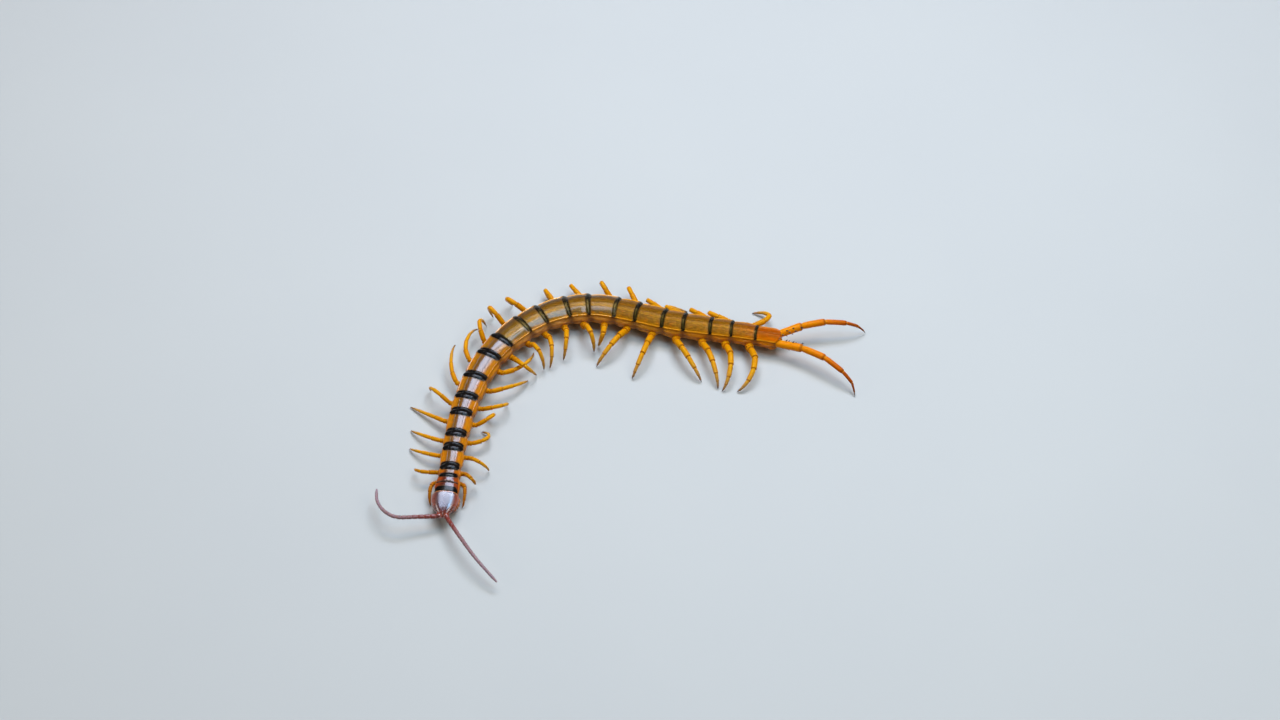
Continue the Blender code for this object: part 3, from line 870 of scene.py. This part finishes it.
SKIN_SIDES = 72
SKIN_STEPS = 18
SKIN_START = 0.4  # how far behind the head the skin begins
SKIN_END = ((0.15, 0.8), (0.3, 0.55), (0.38, 0.25))  # (station past the tail, girth) of its last rings
SKIN_RADIUS = 3.0  # for its material, to go round it in millimetres
SKIN_FOLDS = (  # (waves along, waves round, place in the noise, height)
    (1.1, 2.4, 3.0, 0.12), (0.7, 8.0, 7.0, 0.07), (3.2, 3.0, 11.0, 0.05),
)


def skin_ring(number, share, station):
    """One ring of the soft skin: points, and how much painted shade each one gets for lying deep in a fold or
    groove.
    """
    half_width, belly, back = segment_girth(number, share)
    belly, back = belly + 0.12, back - 0.34 - 0.08 * golden(number)
    margin = belly + 0.5 * (back - belly)
    waist = abs(math.cos(math.pi * share)) ** 6
    hip = hip_place(number)[1]
    lumps = 0.45 + 0.55 * smooth(20, 50, station)
    ring, creases = [], []
    for turn, c, s in corners(SKIN_SIDES):
        across = half_width * 0.985 * (1.0 - 0.1 * waist) * power(c, 0.85)
        rise = (back - margin) * s ** 0.9 if s > 0 else -(margin - belly) * abs(s) ** 0.6
        flank = 1 - smooth(0.45, 0.85, abs(s))
        fold = sum(noise.noise(Vector((station * along, turn * around, layer))) * height
                   for along, around, layer, height in SKIN_FOLDS)
        coxa = peak(station, hip, 1.05) * peak(s, -0.42, 0.34)
        lobe = peak(share, 0.5, 0.3) * peak(s, 0.22, 0.22)
        groove = peak(s, -0.06 + 0.1 * math.sin(station * 1.7), 0.06)
        push = flank * (fold * lumps + 0.34 * lumps * coxa + 0.16 * lumps * lobe - 0.1 * groove)
        ring.append(place(station, across + push * c, margin + rise + push * s * 0.6))
        # painted shade: the deeper a point lies in a groove, a waist or a fold's hollow, the darker it is
        # painted
        creases.append(min(1.0, flank * (0.55 * groove + 0.8 * waist + max(0.0, -fold) * 3)))
    return ring, creases


def make_skin(look):
    rows = []
    for number in range(1, LAST_SEGMENT + 1):
        first, last = segment_span(number)
        for step in range(SKIN_STEPS):
            share = (step + 0.5) / SKIN_STEPS
            station = first + share * (last - first)
            if station >= HEAD_LENGTH + SKIN_START:
                rows.append((station, *skin_ring(number, share, station)))
    _, belly, back = segment_girth(LAST_SEGMENT, 1)
    rear, ring, _ = rows[-1]
    base = place(rear, 0, (belly + back) / 2)
    for past, girth in SKIN_END:
        axis = place(TAIL + past, 0, (belly + back) / 2)
        rows.append((TAIL + past, [axis + (p - base) * girth for p in ring], [0.3] * SKIN_SIDES))
    stations, rings, creases = (list(column) for column in zip(*rows))
    around = [SKIN_RADIUS * min(turn, 2 * math.pi - turn) for turn, _, _ in corners(SKIN_SIDES)]
    shape = Shape()
    # the skin carries, at each point, how much painted shade it gets in its folds
    shape.tube(rings, station=stations, side=[around] * len(rings), crease=creases)
    shape.finish("trunk_skin", look, "trunk_shell", *TRUNK_NODES, sharp=80)


BELLY_SHARE = 0.56  # half width of a belly plate over the body's
BELLY_FRONT = 0.1  # how far behind its segment's front a plate begins
T1_BELLY_FRONT = 2.6  # the same, for the first plate, behind the jaws
BELLY_GAP = 0.25  # between its rear and the segment's
BELLY_ALONG = (0.0, 0.04, 0.1, 0.2, 0.35, 0.5, 0.65, 0.8, 0.9, 0.96, 1.0)
BELLY_THICK = 0.14
BELLY_INNER_SHARE = 0.97  # width of its inner face over the outer one's


def make_belly_plates(look):
    shape = Shape()
    columns = evenly(-1.0, 1.0, 24)
    for number in range(1, LAST_SEGMENT + 1):
        start, end = segment_span(number)
        front, rear = start + (T1_BELLY_FRONT if number == 1 else BELLY_FRONT), end - BELLY_GAP
        grid = []
        for v in BELLY_ALONG:
            station = front + (rear - front) * v
            half_width, belly, _ = segment_girth(number, v)
            width = BELLY_SHARE * half_width * (0.92 + 0.1 * math.sin(math.pi * v) - 0.06 * v)
            if number == LAST_SEGMENT:
                width *= 1 - 0.3 * v
            rise = 0.02 - 0.04 * math.sin(math.pi * v) + 0.05 * peak(v, 1.0, 0.05) + 0.05 * peak(v, 0.0, 0.05)
            grid.append([(station, u * width,
                          belly + rise + 0.13 * abs(u) ** 3 + 0.03 * peak(abs(u), BELLY_FURROW, 0.04))
                         for u in columns])
        shape.plate(grid, columns, BELLY_INNER_SHARE, -BELLY_THICK)
    shape.finish("belly_plates", look, "trunk_shell", *TRUNK_NODES)


COXA_START = 3.6  # ahead of the tail
COXA_LENGTH = 4.35
COXA_HALF_WIDTH = 0.82
COXA_HALF_HEIGHT = 0.86
COXOPLEURA = (  # (share of its length, girth)
    (0.0, 0.25), (0.06, 0.6), (0.18, 0.88), (0.4, 1.0), (0.65, 0.97), (0.82, 0.8), (0.93, 0.5), (1.0, 0.12),
)


def make_coxopleura(look):
    """The swollen bases of the last legs, each with a pointed rear end."""
    shape = Shape()
    for _, sign in SIDES:
        rings = []
        for t, girth in COXOPLEURA:
            station = TAIL - COXA_START + COXA_LENGTH * t
            across, height = 1.22 - 0.5 * smooth(0.55, 1.0, t), 2.42 - 0.35 * smooth(0.6, 1.0, t)
            rings.append(round_ring(place(station, sign * across, height), ways(station)[1], UP,
                                    COXA_HALF_WIDTH * girth, 24, COXA_HALF_HEIGHT / COXA_HALF_WIDTH))
        shape.tube(rings, share=[0.1 + 0.2 * t for t, _ in COXOPLEURA])
    shape.finish("coxopleura", look, "last_leg_shell", trunk_node(LAST_SEGMENT))


# ---- Legs ----

LEG_JOINTS = (0.0, 0.1, 0.155, 0.36, 0.565, 0.765, 0.885, 0.955)
LEG_RADII = (  # (share of the leg, radius at girth 1)
    (0.0, 0.7), (0.1, 0.58), (0.16, 0.55), (0.3, 0.55), (0.37, 0.48), (0.5, 0.48), (0.58, 0.41),
    (0.72, 0.38), (0.78, 0.3), (0.87, 0.26), (0.9, 0.21), (0.955, 0.16), (1.0, 0.1),
)
HIP_DEPTH = 0.75  # how far inside the hip a leg begins
LAST_DEPTH = 0.9  # the same, for one of the last pair
LAST_FLAT = 0.94  # height of its articles over their width
LAST_JOINTS = (0.0, 0.285, 0.52, 0.735, 0.865, 0.955)
LAST_RADII = (
    (0.0, 0.68), (0.07, 0.78), (0.25, 0.8), (0.3, 0.69), (0.48, 0.69), (0.54, 0.55), (0.7, 0.52),
    (0.75, 0.37), (0.86, 0.3), (0.89, 0.22), (0.96, 0.16), (1.0, 0.1),
)


def leg_path(hip, foot, lean, length):
    """A bent path of a given length from hip to foot, its knee up and leaning toward the head."""
    chord = foot - hip
    flat = Vector((chord.x, chord.y, 0)).normalized()
    up = (UP - chord.normalized() * chord.normalized().z).normalized()
    knee_way = up * math.cos(math.radians(abs(lean))) + flat.cross(UP) * math.sin(math.radians(lean))
    low, high = 0.0, length
    for _ in range(HALVINGS):
        rise = (low + high) / 2
        pulled = [hip + chord * share + knee_way * rise * pull for share, pull in KNEE_PULLS]
        path = [bezier((hip, *pulled, foot), t) for t in evenly(0.0, 1.0, LEG_STEPS)]
        reach = sum((b - a).length for a, b in zip(path, path[1:]))
        low, high = (rise, high) if reach < length else (low, rise)
    return path


def leg_size(side, number):
    """Length and girth of a leg."""
    length, girth = between(LEG_LENGTHS, number)[0], between(LEG_GIRTHS, number)[0]
    if side == "right" and number in DRAWN_UP:
        return length * DRAWN_UP_LENGTH, girth * DRAWN_UP_GIRTH
    return length, girth


def leg_course(side, number):
    """The whole path of a leg from inside its hip to its claw, and the way it leaves the body."""
    sign = 1 if side == "right" else -1
    forward, out, height, lean = FEET[side][number]
    share, station = hip_place(number)
    ahead, to_right = ways(station)
    outward = to_right * sign
    hip = place(station, 0, HIP_HEIGHT) + outward * (segment_girth(number, share)[0] + HIP_OUT)
    foot = hip + ahead * forward + outward * out
    foot.z = height + FOOT_HEIGHT
    length = leg_size(side, number)[0]
    bent = leg_path(hip + outward * HIP_STUB, foot, lean * -sign, length - HIP_STUB)
    return [hip] + bent, outward


def add_claw(claws, frames, foot):
    """The claw at the end of a limb, with the two small spurs beside it and one on the joint above."""
    _, root, side, _, radius = frames[-1]
    tip = foot - UP * (FOOT_HEIGHT - CLAW_HEIGHT)
    way = (tip - root).normalized()
    bow = (UP - way * way.z) * 0.09
    spike(claws, root - way * 0.08, tip, radius * 0.8, 10, evenly(0.0, 1.0, 8), claw_taper, bow)
    for sign in (1, -1):
        start = root + side * (sign * radius * 0.55)
        spike(claws, start, start + way * 0.2 + side * sign * 0.03, 0.035, 5, [0.4, 0.6, 0.8, 1.0])
    _, joint, _, up, radius = frames[-2]
    down = up if up.z < 0 else -up
    start = joint + down * radius * 0.8 - way * 0.06
    spike(claws, start, start + way * 0.26 + down * 0.14, 0.055, 6, [0.2, 0.5, 0.8, 1.0])


def make_leg(side, number, look, claws):
    path, outward = leg_course(side, number)
    girth = leg_size(side, number)[1]
    root = resample([path[0] - outward * HIP_DEPTH, *path[:2]], evenly(0.0, 1.0, 3))
    path = root[:-1] + path[1:]
    shape = Shape()
    frames = limb(shape, path, LEG_JOINTS, lambda share: between(LEG_RADII, share)[0] * girth, 14, outward,
                  rim=ARTICLE_RIM, ruddy=1 - smooth(1, 3, number))
    add_claw(claws, frames, path[-1])
    shape.finish(f"leg_{side}_{number:02d}_shell", look, "leg_shell", f"leg_{side}_{number:02d}")


# Spines of the last legs' thick first article: (share of its length, turn round it in degrees)
SPINES = ((0.16, -60), (0.36, -52), (0.58, -58), (0.3, -100), (0.52, -108), (0.75, -98),
          (0.22, 12), (0.48, 20), (0.7, 8), (0.42, 48), (0.66, 56), (0.93, 35), (0.95, 20))
SPINE_RADIUS = 0.17


def make_last_leg(side, sign, look, claws, spines):
    ahead, to_right = ways(TAIL)
    path = curve_through([place(TAIL + s, across, height) for s, across, height in LAST_LEGS[side]])
    path = [path[0] + ahead * LAST_DEPTH] + path
    shape = Shape()
    frames = limb(shape, path, LAST_JOINTS, lambda share: between(LAST_RADII, share)[0], 20, -ahead,
                  flat=LAST_FLAT, rim=ARTICLE_RIM, ruddy=0.0)
    add_claw(claws, frames, path[-1])
    start, end, across, up, _ = frames[0]
    way = (end - start).normalized()
    inward = across if across.dot(to_right) * sign < 0 else -across
    up = up if up.z > 0 else -up
    for share, turn in SPINES:
        out = inward * math.cos(math.radians(turn)) + up * math.sin(math.radians(turn))
        radius = between(LAST_RADII, share * LAST_JOINTS[1])[0]
        root = start.lerp(end, share) + out * radius * 0.9
        spike(spines, root, root + out * 0.45 + way * 0.3, SPINE_RADIUS, 8, evenly(0.3, 1.0, 5))
    shape.finish(f"leg_{side}_21_shell", look, "last_leg_shell", f"leg_{side}_21")


def make_legs():
    """All legs, with their claws and spines. Returns the claws' material, for the teeth."""
    leg, last_leg, claw = leg_look(), last_leg_look(), claw_look()
    make_coxopleura(last_leg)
    for side, sign in SIDES:
        claws, spines = Shape(), Shape()
        for number in FEET[side]:
            make_leg(side, number, leg, claws)
        make_last_leg(side, sign, last_leg, claws, spines)
        for point in claws.points:  # the spurs of a steep foot stop at the floor
            point.z = max(point.z, FLOOR_GAP)
        nodes = [f"leg_{side}_{n:02d}" for n in range(1, LAST_SEGMENT + 1)]
        claws.finish(f"claws_{side}", claw, "leg_shell", *nodes)
        spines.finish(f"spines_{side}", claw, "last_leg_shell", nodes[-1])
    return claw


# ---- Feelers ----

FEELER_DEPTH = 0.6  # how far inside the head a feeler begins
ARTICLES = 19
BALD_ARTICLES = 6
HAIRS = 150  # on an article
HAIRS_ON_BALD = 6
HAIR_RADIUS = 0.011
HAIR_LENGTHS = (0.1, 0.17)
HAIR_SEED = 7
UV_STEP = 0.0015  # each hair's points share one small patch of the map


def antenna_joints():
    """Shares at the ends of the articles: longest near the root, shorter to the tip."""
    lengths = [1.15, 1.2] + [1.25 - 0.032 * i for i in range(ARTICLES - 3)] + [0.95]
    joints = [0.0]
    for length in lengths:
        joints.append(joints[-1] + length / sum(lengths))
    return joints


def make_antenna(side, look, down):
    path = curve_through([place(*row) for row in ANTENNAE[side]])
    ahead = ways(0)[0]
    path = [path[0] - ahead * FEELER_DEPTH] + path
    thick, thin = ANTENNA_RADII

    def girth(share):
        return thick + (thin - thick) * share ** 0.8 - 0.1 * smooth(0.94, 1.0, share)

    shape = Shape()
    joints = antenna_joints()
    frames = limb(shape, path, joints, girth, 18, ahead, profile=BEAD, curve=0.5)
    shape.finish(f"antenna_{side}_shell", look, "antenna_shell", f"antenna_{side}")
    make_down(side, frames, joints, girth, down)


def make_down(side, frames, joints, girth, look):
    """Short fine hairs, most of them on a feeler's outer articles, each a thin three-sided spike."""
    pick = random.Random(HAIR_SEED)
    shape = Shape()
    roots = []
    for number, (start, end, across, up, _) in enumerate(frames):
        way = (end - start).normalized()
        for _ in range(HAIRS if number >= BALD_ARTICLES else HAIRS_ON_BALD):
            t, turn = pick.uniform(0.08, 0.95), pick.uniform(0, 2 * math.pi)
            share = joints[number] + (joints[number + 1] - joints[number]) * t
            out = across * math.cos(turn) + up * math.sin(turn)
            root = start.lerp(end, t) + out * girth(share) * 0.95
            reach = pick.uniform(*HAIR_LENGTHS)
            tip = root + (out * 0.75 + way * 0.66) * reach
            ring = round_ring(root, way.cross(out), way, HAIR_RADIUS, 3)
            shape.tube([ring, [tip + (p - root) * 0.1 for p in ring]])
            roots.append((share, turn / (2 * math.pi)))
    piece = shape.finish(f"antenna_{side}_down", look, "antenna_shell", f"antenna_{side}")
    patch = piece.data.uv_layers.new(name="OFBake")
    points_each = len(shape.points) // len(roots)
    for loop in piece.data.loops:
        u, v = roots[loop.vertex_index // points_each]
        corner = loop.vertex_index % points_each
        patch.data[loop.index].uv = (u + UV_STEP * (corner % 3), v + UV_STEP * (corner // 3))


# ---- Head ----


def head_point(station, u):
    """Upper face of the head plate at a station and a share of the half width."""
    half_width, middle, side = curve_between(HEAD_PLATE, station)
    out = abs(u)
    height = middle - (middle - side) * out ** 4.2
    height -= 0.05 * peak(u, 0.0, 0.05) * (1 - smooth(0.4, 1.6, station))
    height += 0.015 * peak(out, 0.95, 0.03)
    along = station - HEAD_HOLLOW * out ** 2.3 * smooth(2.0, HEAD_PLATE[-1][0], station)
    return along, u * half_width, height


def make_head_plate(look):
    stations = evenly(HEAD_PLATE[0][0], HEAD_PLATE[-1][0], 60)
    edges = [stations[-1] - station for station in stations]
    grid = []
    for station, edge in zip(stations, edges):
        lift = 0.03 * peak(edge, 0.08, 0.08) - 0.03 * peak(edge, 0.2, 0.07)
        lift -= 0.14 * max(0.0, 1 - edge / HEAD_MARGIN)
        spots = [head_point(station, u) for u in PLATE_ACROSS]
        grid.append([(s, a, h + lift) for s, a, h in spots])
    shape = Shape()
    shape.plate(grid, PLATE_ACROSS, HEAD_UNDER_SHARE, HEAD_THICK, station=stations, edge=edges)
    shape.finish("head_plate", look, "head_shell", "head")


LIP = ((0.0, 0.5, 2.38), (0.25, 0.62, 2.32), (0.6, 0.7, 2.32))  # (station, width, height)


def make_head_capsule(look):
    """The head below its plate: cheeks, the face between the feelers, and the upper lip."""
    stations = evenly(HEAD_CAPSULE[0][0], HEAD_CAPSULE[-1][0], 40)
    rings = [square_ring(station, *curve_between(HEAD_CAPSULE, station), 40,
                         dent=0.05 * smooth(0.4, 1.5, station)) for station in stations]
    out = [[abs(c) for _, c, _ in corners(40)]] * len(rings)
    shape = Shape()
    shape.tube(rings, station=stations, side=out, across=out, edge=1.0)
    for _, sign in SIDES:
        rings = [round_ring(place(station - 0.05, sign * width * 0.5, height), ways(station)[1], UP,
                            width * 0.48, 12, 0.5)
                 for station, width, height in LIP]
        shape.tube(rings, station=0.5, side=0.5, across=0.9, edge=1.0)
    shape.finish("head_capsule", look, "head_shell", "head")


SOCKET = ((-0.45, 0.46), (-0.1, 0.56), (0.05, 0.58), (0.12, 0.53), (0.1, 0.44))  # (along, radius)


def make_sockets(look):
    """The raised collars that the feelers turn in."""
    shape = Shape()
    ahead, to_right = ways(0)
    for _, sign in SIDES:
        centre = place(-0.08, sign * 0.68, 2.85)
        way = (ahead + to_right * sign * 0.45).normalized()
        side = way.cross(UP).normalized()
        rings = [round_ring(centre + way * along, side, UP, radius, 20) for along, radius in SOCKET]
        shape.tube(rings, station=0.6, side=0.5, across=0.95, edge=1.0)
    shape.finish("antenna_sockets", look, "head_shell", "head")


def make_eyes(look):
    for side, sign in SIDES:
        shape = Shape()
        for station, out, radius in OCELLI:
            spot = place(*head_point(station, sign * out))
            along = place(*head_point(station + 0.1, sign * out)) - spot
            outward = place(*head_point(station, sign * (out + 0.05))) - spot
            normal = along.cross(outward).normalized()
            normal = normal if normal.z > 0 else -normal
            east = normal.orthogonal().normalized()
            north = normal.cross(east)
            tilts = [math.radians(tilt) for tilt in evenly(-20, 90, 7)]
            rings = [round_ring(spot + normal * (radius * 0.75 * math.sin(tilt)), east, north,
                                radius * max(0.03, math.cos(tilt)), 16) for tilt in tilts]
            shape.tube(rings, share=evenly(0.0, 1.0, 7))
        shape.finish(f"eyes_{side}", look, "eye", f"eye_{side}")


PALP = (  # (station, across, height)
    (3.3, 0.85, 2.1), (2.4, 1.1, 2.08), (1.5, 1.05, 2.05), (0.85, 0.7, 2.05), (0.55, 0.3, 2.08),
)
PALP_JOINTS = (0.0, 0.4, 0.72, 1.0)
MANDIBLE = (  # (share of its length, girth)
    (0.0, 0.3), (0.15, 0.75), (0.45, 1.0), (0.75, 0.85), (0.93, 0.5), (1.0, 0.2),
)
MANDIBLE_RADIUS = 0.42


def make_mouthparts(look):
    """The jaws' bulges and the pair of small feeding legs folded under the head."""
    shape = Shape()
    for _, sign in SIDES:
        path = curve_through([place(s, sign * a, h) for s, a, h in PALP])
        limb(shape, path, PALP_JOINTS, lambda share: 0.3 - 0.13 * share, 14, ways(3)[0])
        rings = []
        for t, girth in MANDIBLE:
            centre = place(2.3 - 1.9 * t, sign * (0.62 - 0.2 * t), 2.32)
            rings.append(round_ring(centre, ways(1)[1], UP, MANDIBLE_RADIUS * girth, 16, 0.7))
        shape.tube(rings, share=0.1, bare=0.0)
    shape.finish("mouthparts", look, "poison_claw_shell", "head")


COXOSTERNITE = (  # (station, half width, underside, top)
    (3.25, 0.6, 1.5, 1.8), (3.35, 0.85, 1.25, 1.95), (3.7, 1.05, 1.05, 2.15), (4.5, 1.4, 0.95, 2.35),
    (5.5, 1.7, 0.92, 2.5), (6.5, 1.85, 0.95, 2.6), (7.1, 1.7, 1.1, 2.6), (7.4, 1.3, 1.4, 2.5),
)
TEETH = (0.16, 0.3, 0.44, 0.58)  # how far from the middle they stand


def make_jaw_plate(look, tooth_look):
    """The plate that carries the poison claws, with two rows of small dark teeth in front."""
    shape, teeth = Shape(), Shape()
    stations = evenly(COXOSTERNITE[0][0], COXOSTERNITE[-1][0], 24)
    rings = [square_ring(station, *between(COXOSTERNITE, station), 32, groove=0.06) for station in stations]
    shape.tube(rings, share=0.3, bare=0.0)
    for _, sign in SIDES:
        block = [round_ring(place(3.6 - 0.6 * t, sign * 0.38, 1.5), ways(3)[1], UP, radius, 12, 0.55)
                 for t, radius in ((0.0, 0.34), (0.6, 0.36), (0.95, 0.32), (1.0, 0.24))]
        shape.tube(block, share=0.6, bare=0.0)
        for out in TEETH:
            root = place(3.05, sign * out, 1.5)
            spike(teeth, root, root + ways(3)[0] * 0.2, 0.075, 8, [0.3, 0.6, 0.8, 1.0])
    shape.finish("jaw_plate", look, "poison_claw_shell", "forcipule_right", "forcipule_left")
    teeth.finish("jaw_teeth", tooth_look, "poison_claw_shell", "forcipule_right", "forcipule_left")


JAW_JOINTS = (0.0, 0.46, 0.54, 0.61, 1.0)


def make_forcipule(side, sign, look):
    path = curve_through([place(s, sign * a, h) for s, a, h, _ in FORCIPULE])
    reach = [0.0]
    for a, b in zip(FORCIPULE, FORCIPULE[1:]):
        reach.append(reach[-1] + math.dist(a[:3], b[:3]))
    radii = [(length / reach[-1], row[3]) for length, row in zip(reach, FORCIPULE)]

    def girth(share):
        slim = (1 - 0.35 * smooth(0.7, 0.85, share)) * (1 - 0.9 * smooth(0.86, 1.0, share))
        return between(radii, share)[0] * slim

    fang = [(t, 0.8 + 0.22 * smooth(0, 0.15, t), 1.0 - smooth(0, 0.06, t)) for t in evenly(0.0, 1.0, 18)]
    ahead = ways(6)[0]
    shape = Shape()
    limb(shape, path, JAW_JOINTS[:-1], girth, 20, ahead, curve=0.9)
    limb(shape, path, JAW_JOINTS[-2:], girth, 20, ahead, profile=fang, curve=1.0)
    shape.finish(f"forcipule_{side}_shell", look, "poison_claw_shell", f"forcipule_{side}")


# ---- Studio ----

VIEW_TARGET = (2.04, 17.72, 0.0)
VIEW_ELEVATION = 50.0
VIEW_DISTANCE = 416.0
LENS = 60.0
SENSOR = 36.0
LIGHTS = (  # (name, place and size in metres, watts, colour); all face the origin
    ("top", (0.05, 0.26, 0.41), (0.32, 0.11), 1.8, (0.62, 0.74, 1.0)),
    ("line", (0.03, 0.175, 0.45), (0.44, 0.03), 0.8, (1.0, 0.95, 0.88)),
    ("sky", (-0.1, 0.085, 0.46), (0.22, 0.14), 0.48, (0.68, 0.78, 1.0)),
    ("flank", (0.1, 0.01, 0.46), (0.2, 0.2), 0.95, (0.45, 0.72, 1.0)),
    ("window", (0.3, -0.2, 0.43), (0.3, 0.2), 0.7, (1.0, 0.97, 0.93)),
    ("fill", (-0.5, -0.1, 0.3), (0.2, 0.3), 0.5, (1.0, 0.96, 0.9)),
)
AIR_COLOUR = (0.93, 0.95, 1.0, 1.0)
AIR_STRENGTH = 0.07
FLOOR_HALF = 2.0  # metres
FLOOR_COLOURS = ((0.474, 0.453, 0.405), (0.5, 0.477, 0.421))


def make_camera():
    data = bpy.data.cameras.new("camera")
    data.lens, data.sensor_width = LENS, SENSOR
    data.clip_start, data.clip_end = 0.01, 10.0
    camera = add_object("camera", data)
    tilt = math.radians(VIEW_ELEVATION)
    back = Vector((0, -math.cos(tilt), math.sin(tilt))) * VIEW_DISTANCE
    camera.location = (Vector(VIEW_TARGET) + back) * MM
    camera.rotation_euler = (math.pi / 2 - tilt, 0, 0)
    bpy.context.scene.camera = camera


def make_lights():
    for name, spot, size, watts, colour in LIGHTS:
        data = bpy.data.lights.new(name, "AREA")
        data.shape = "RECTANGLE"
        data.size, data.size_y = size
        data.energy, data.color = watts, colour
        light = add_object(name, data)
        light.location = spot
        light.rotation_euler = (-Vector(spot)).to_track_quat("-Z", "Y").to_euler()


def make_studio():
    make_lights()
    world = bpy.data.worlds.new("studio")
    world.use_nodes = True
    background = world.node_tree.nodes["Background"]
    background.inputs["Color"].default_value = AIR_COLOUR
    background.inputs["Strength"].default_value = AIR_STRENGTH
    bpy.context.scene.world = world
    look = Look("floor", roughness=0.7)
    look.colour = look.mix(look.clouds(0.02), *FLOOR_COLOURS)
    mesh = bpy.data.meshes.new("floor")
    square = [(x * FLOOR_HALF, y * FLOOR_HALF, 0) for x, y in ((-1, -1), (1, -1), (1, 1), (-1, 1))]
    mesh.from_pydata(square, [], [range(4)])
    mesh.materials.append(look.paint())
    floor = add_object("floor", mesh)
    bpy.context.scene.view_settings.view_transform = "Standard"


def main():
    plates = ((1, plate_look("front_plate", (0.5, 0.5), 0.08, (1.0, 1.0, 1.0), 0.0, 0.0)),
              (FIRST_GOLDEN, plate_look("middle_plate", (0.06, 0.5), 0.55, (1.0, 0.6, 0.06), 1.0, 0.7)),
              (FIRST_DULL, plate_look("rear_plate", (0.02, 0.02), 0.26, (1.0, 0.6, 0.03), 1.0, 0.25)),
              (LAST_SEGMENT, plate_look("tail_plate", (0.0, 0.0), 0.1, AMBER, 0.0, 0.0)))
    for number in range(1, LAST_SEGMENT + 1):
        make_back_plate(number, next(look for first, look in reversed(plates) if number >= first))
    make_skin(skin_look())
    make_belly_plates(belly_look())
    claw = make_legs()
    antenna, down, jaw, head = antenna_look(), down_look(), jaw_look(), head_look()
    for side, sign in SIDES:
        make_antenna(side, antenna, down)
        make_forcipule(side, sign, jaw)
    make_head_plate(head)
    make_head_capsule(head)
    make_sockets(head)
    make_eyes(eye_look())
    make_mouthparts(jaw)
    make_jaw_plate(jaw, claw)
    make_camera()
    make_studio()


main()
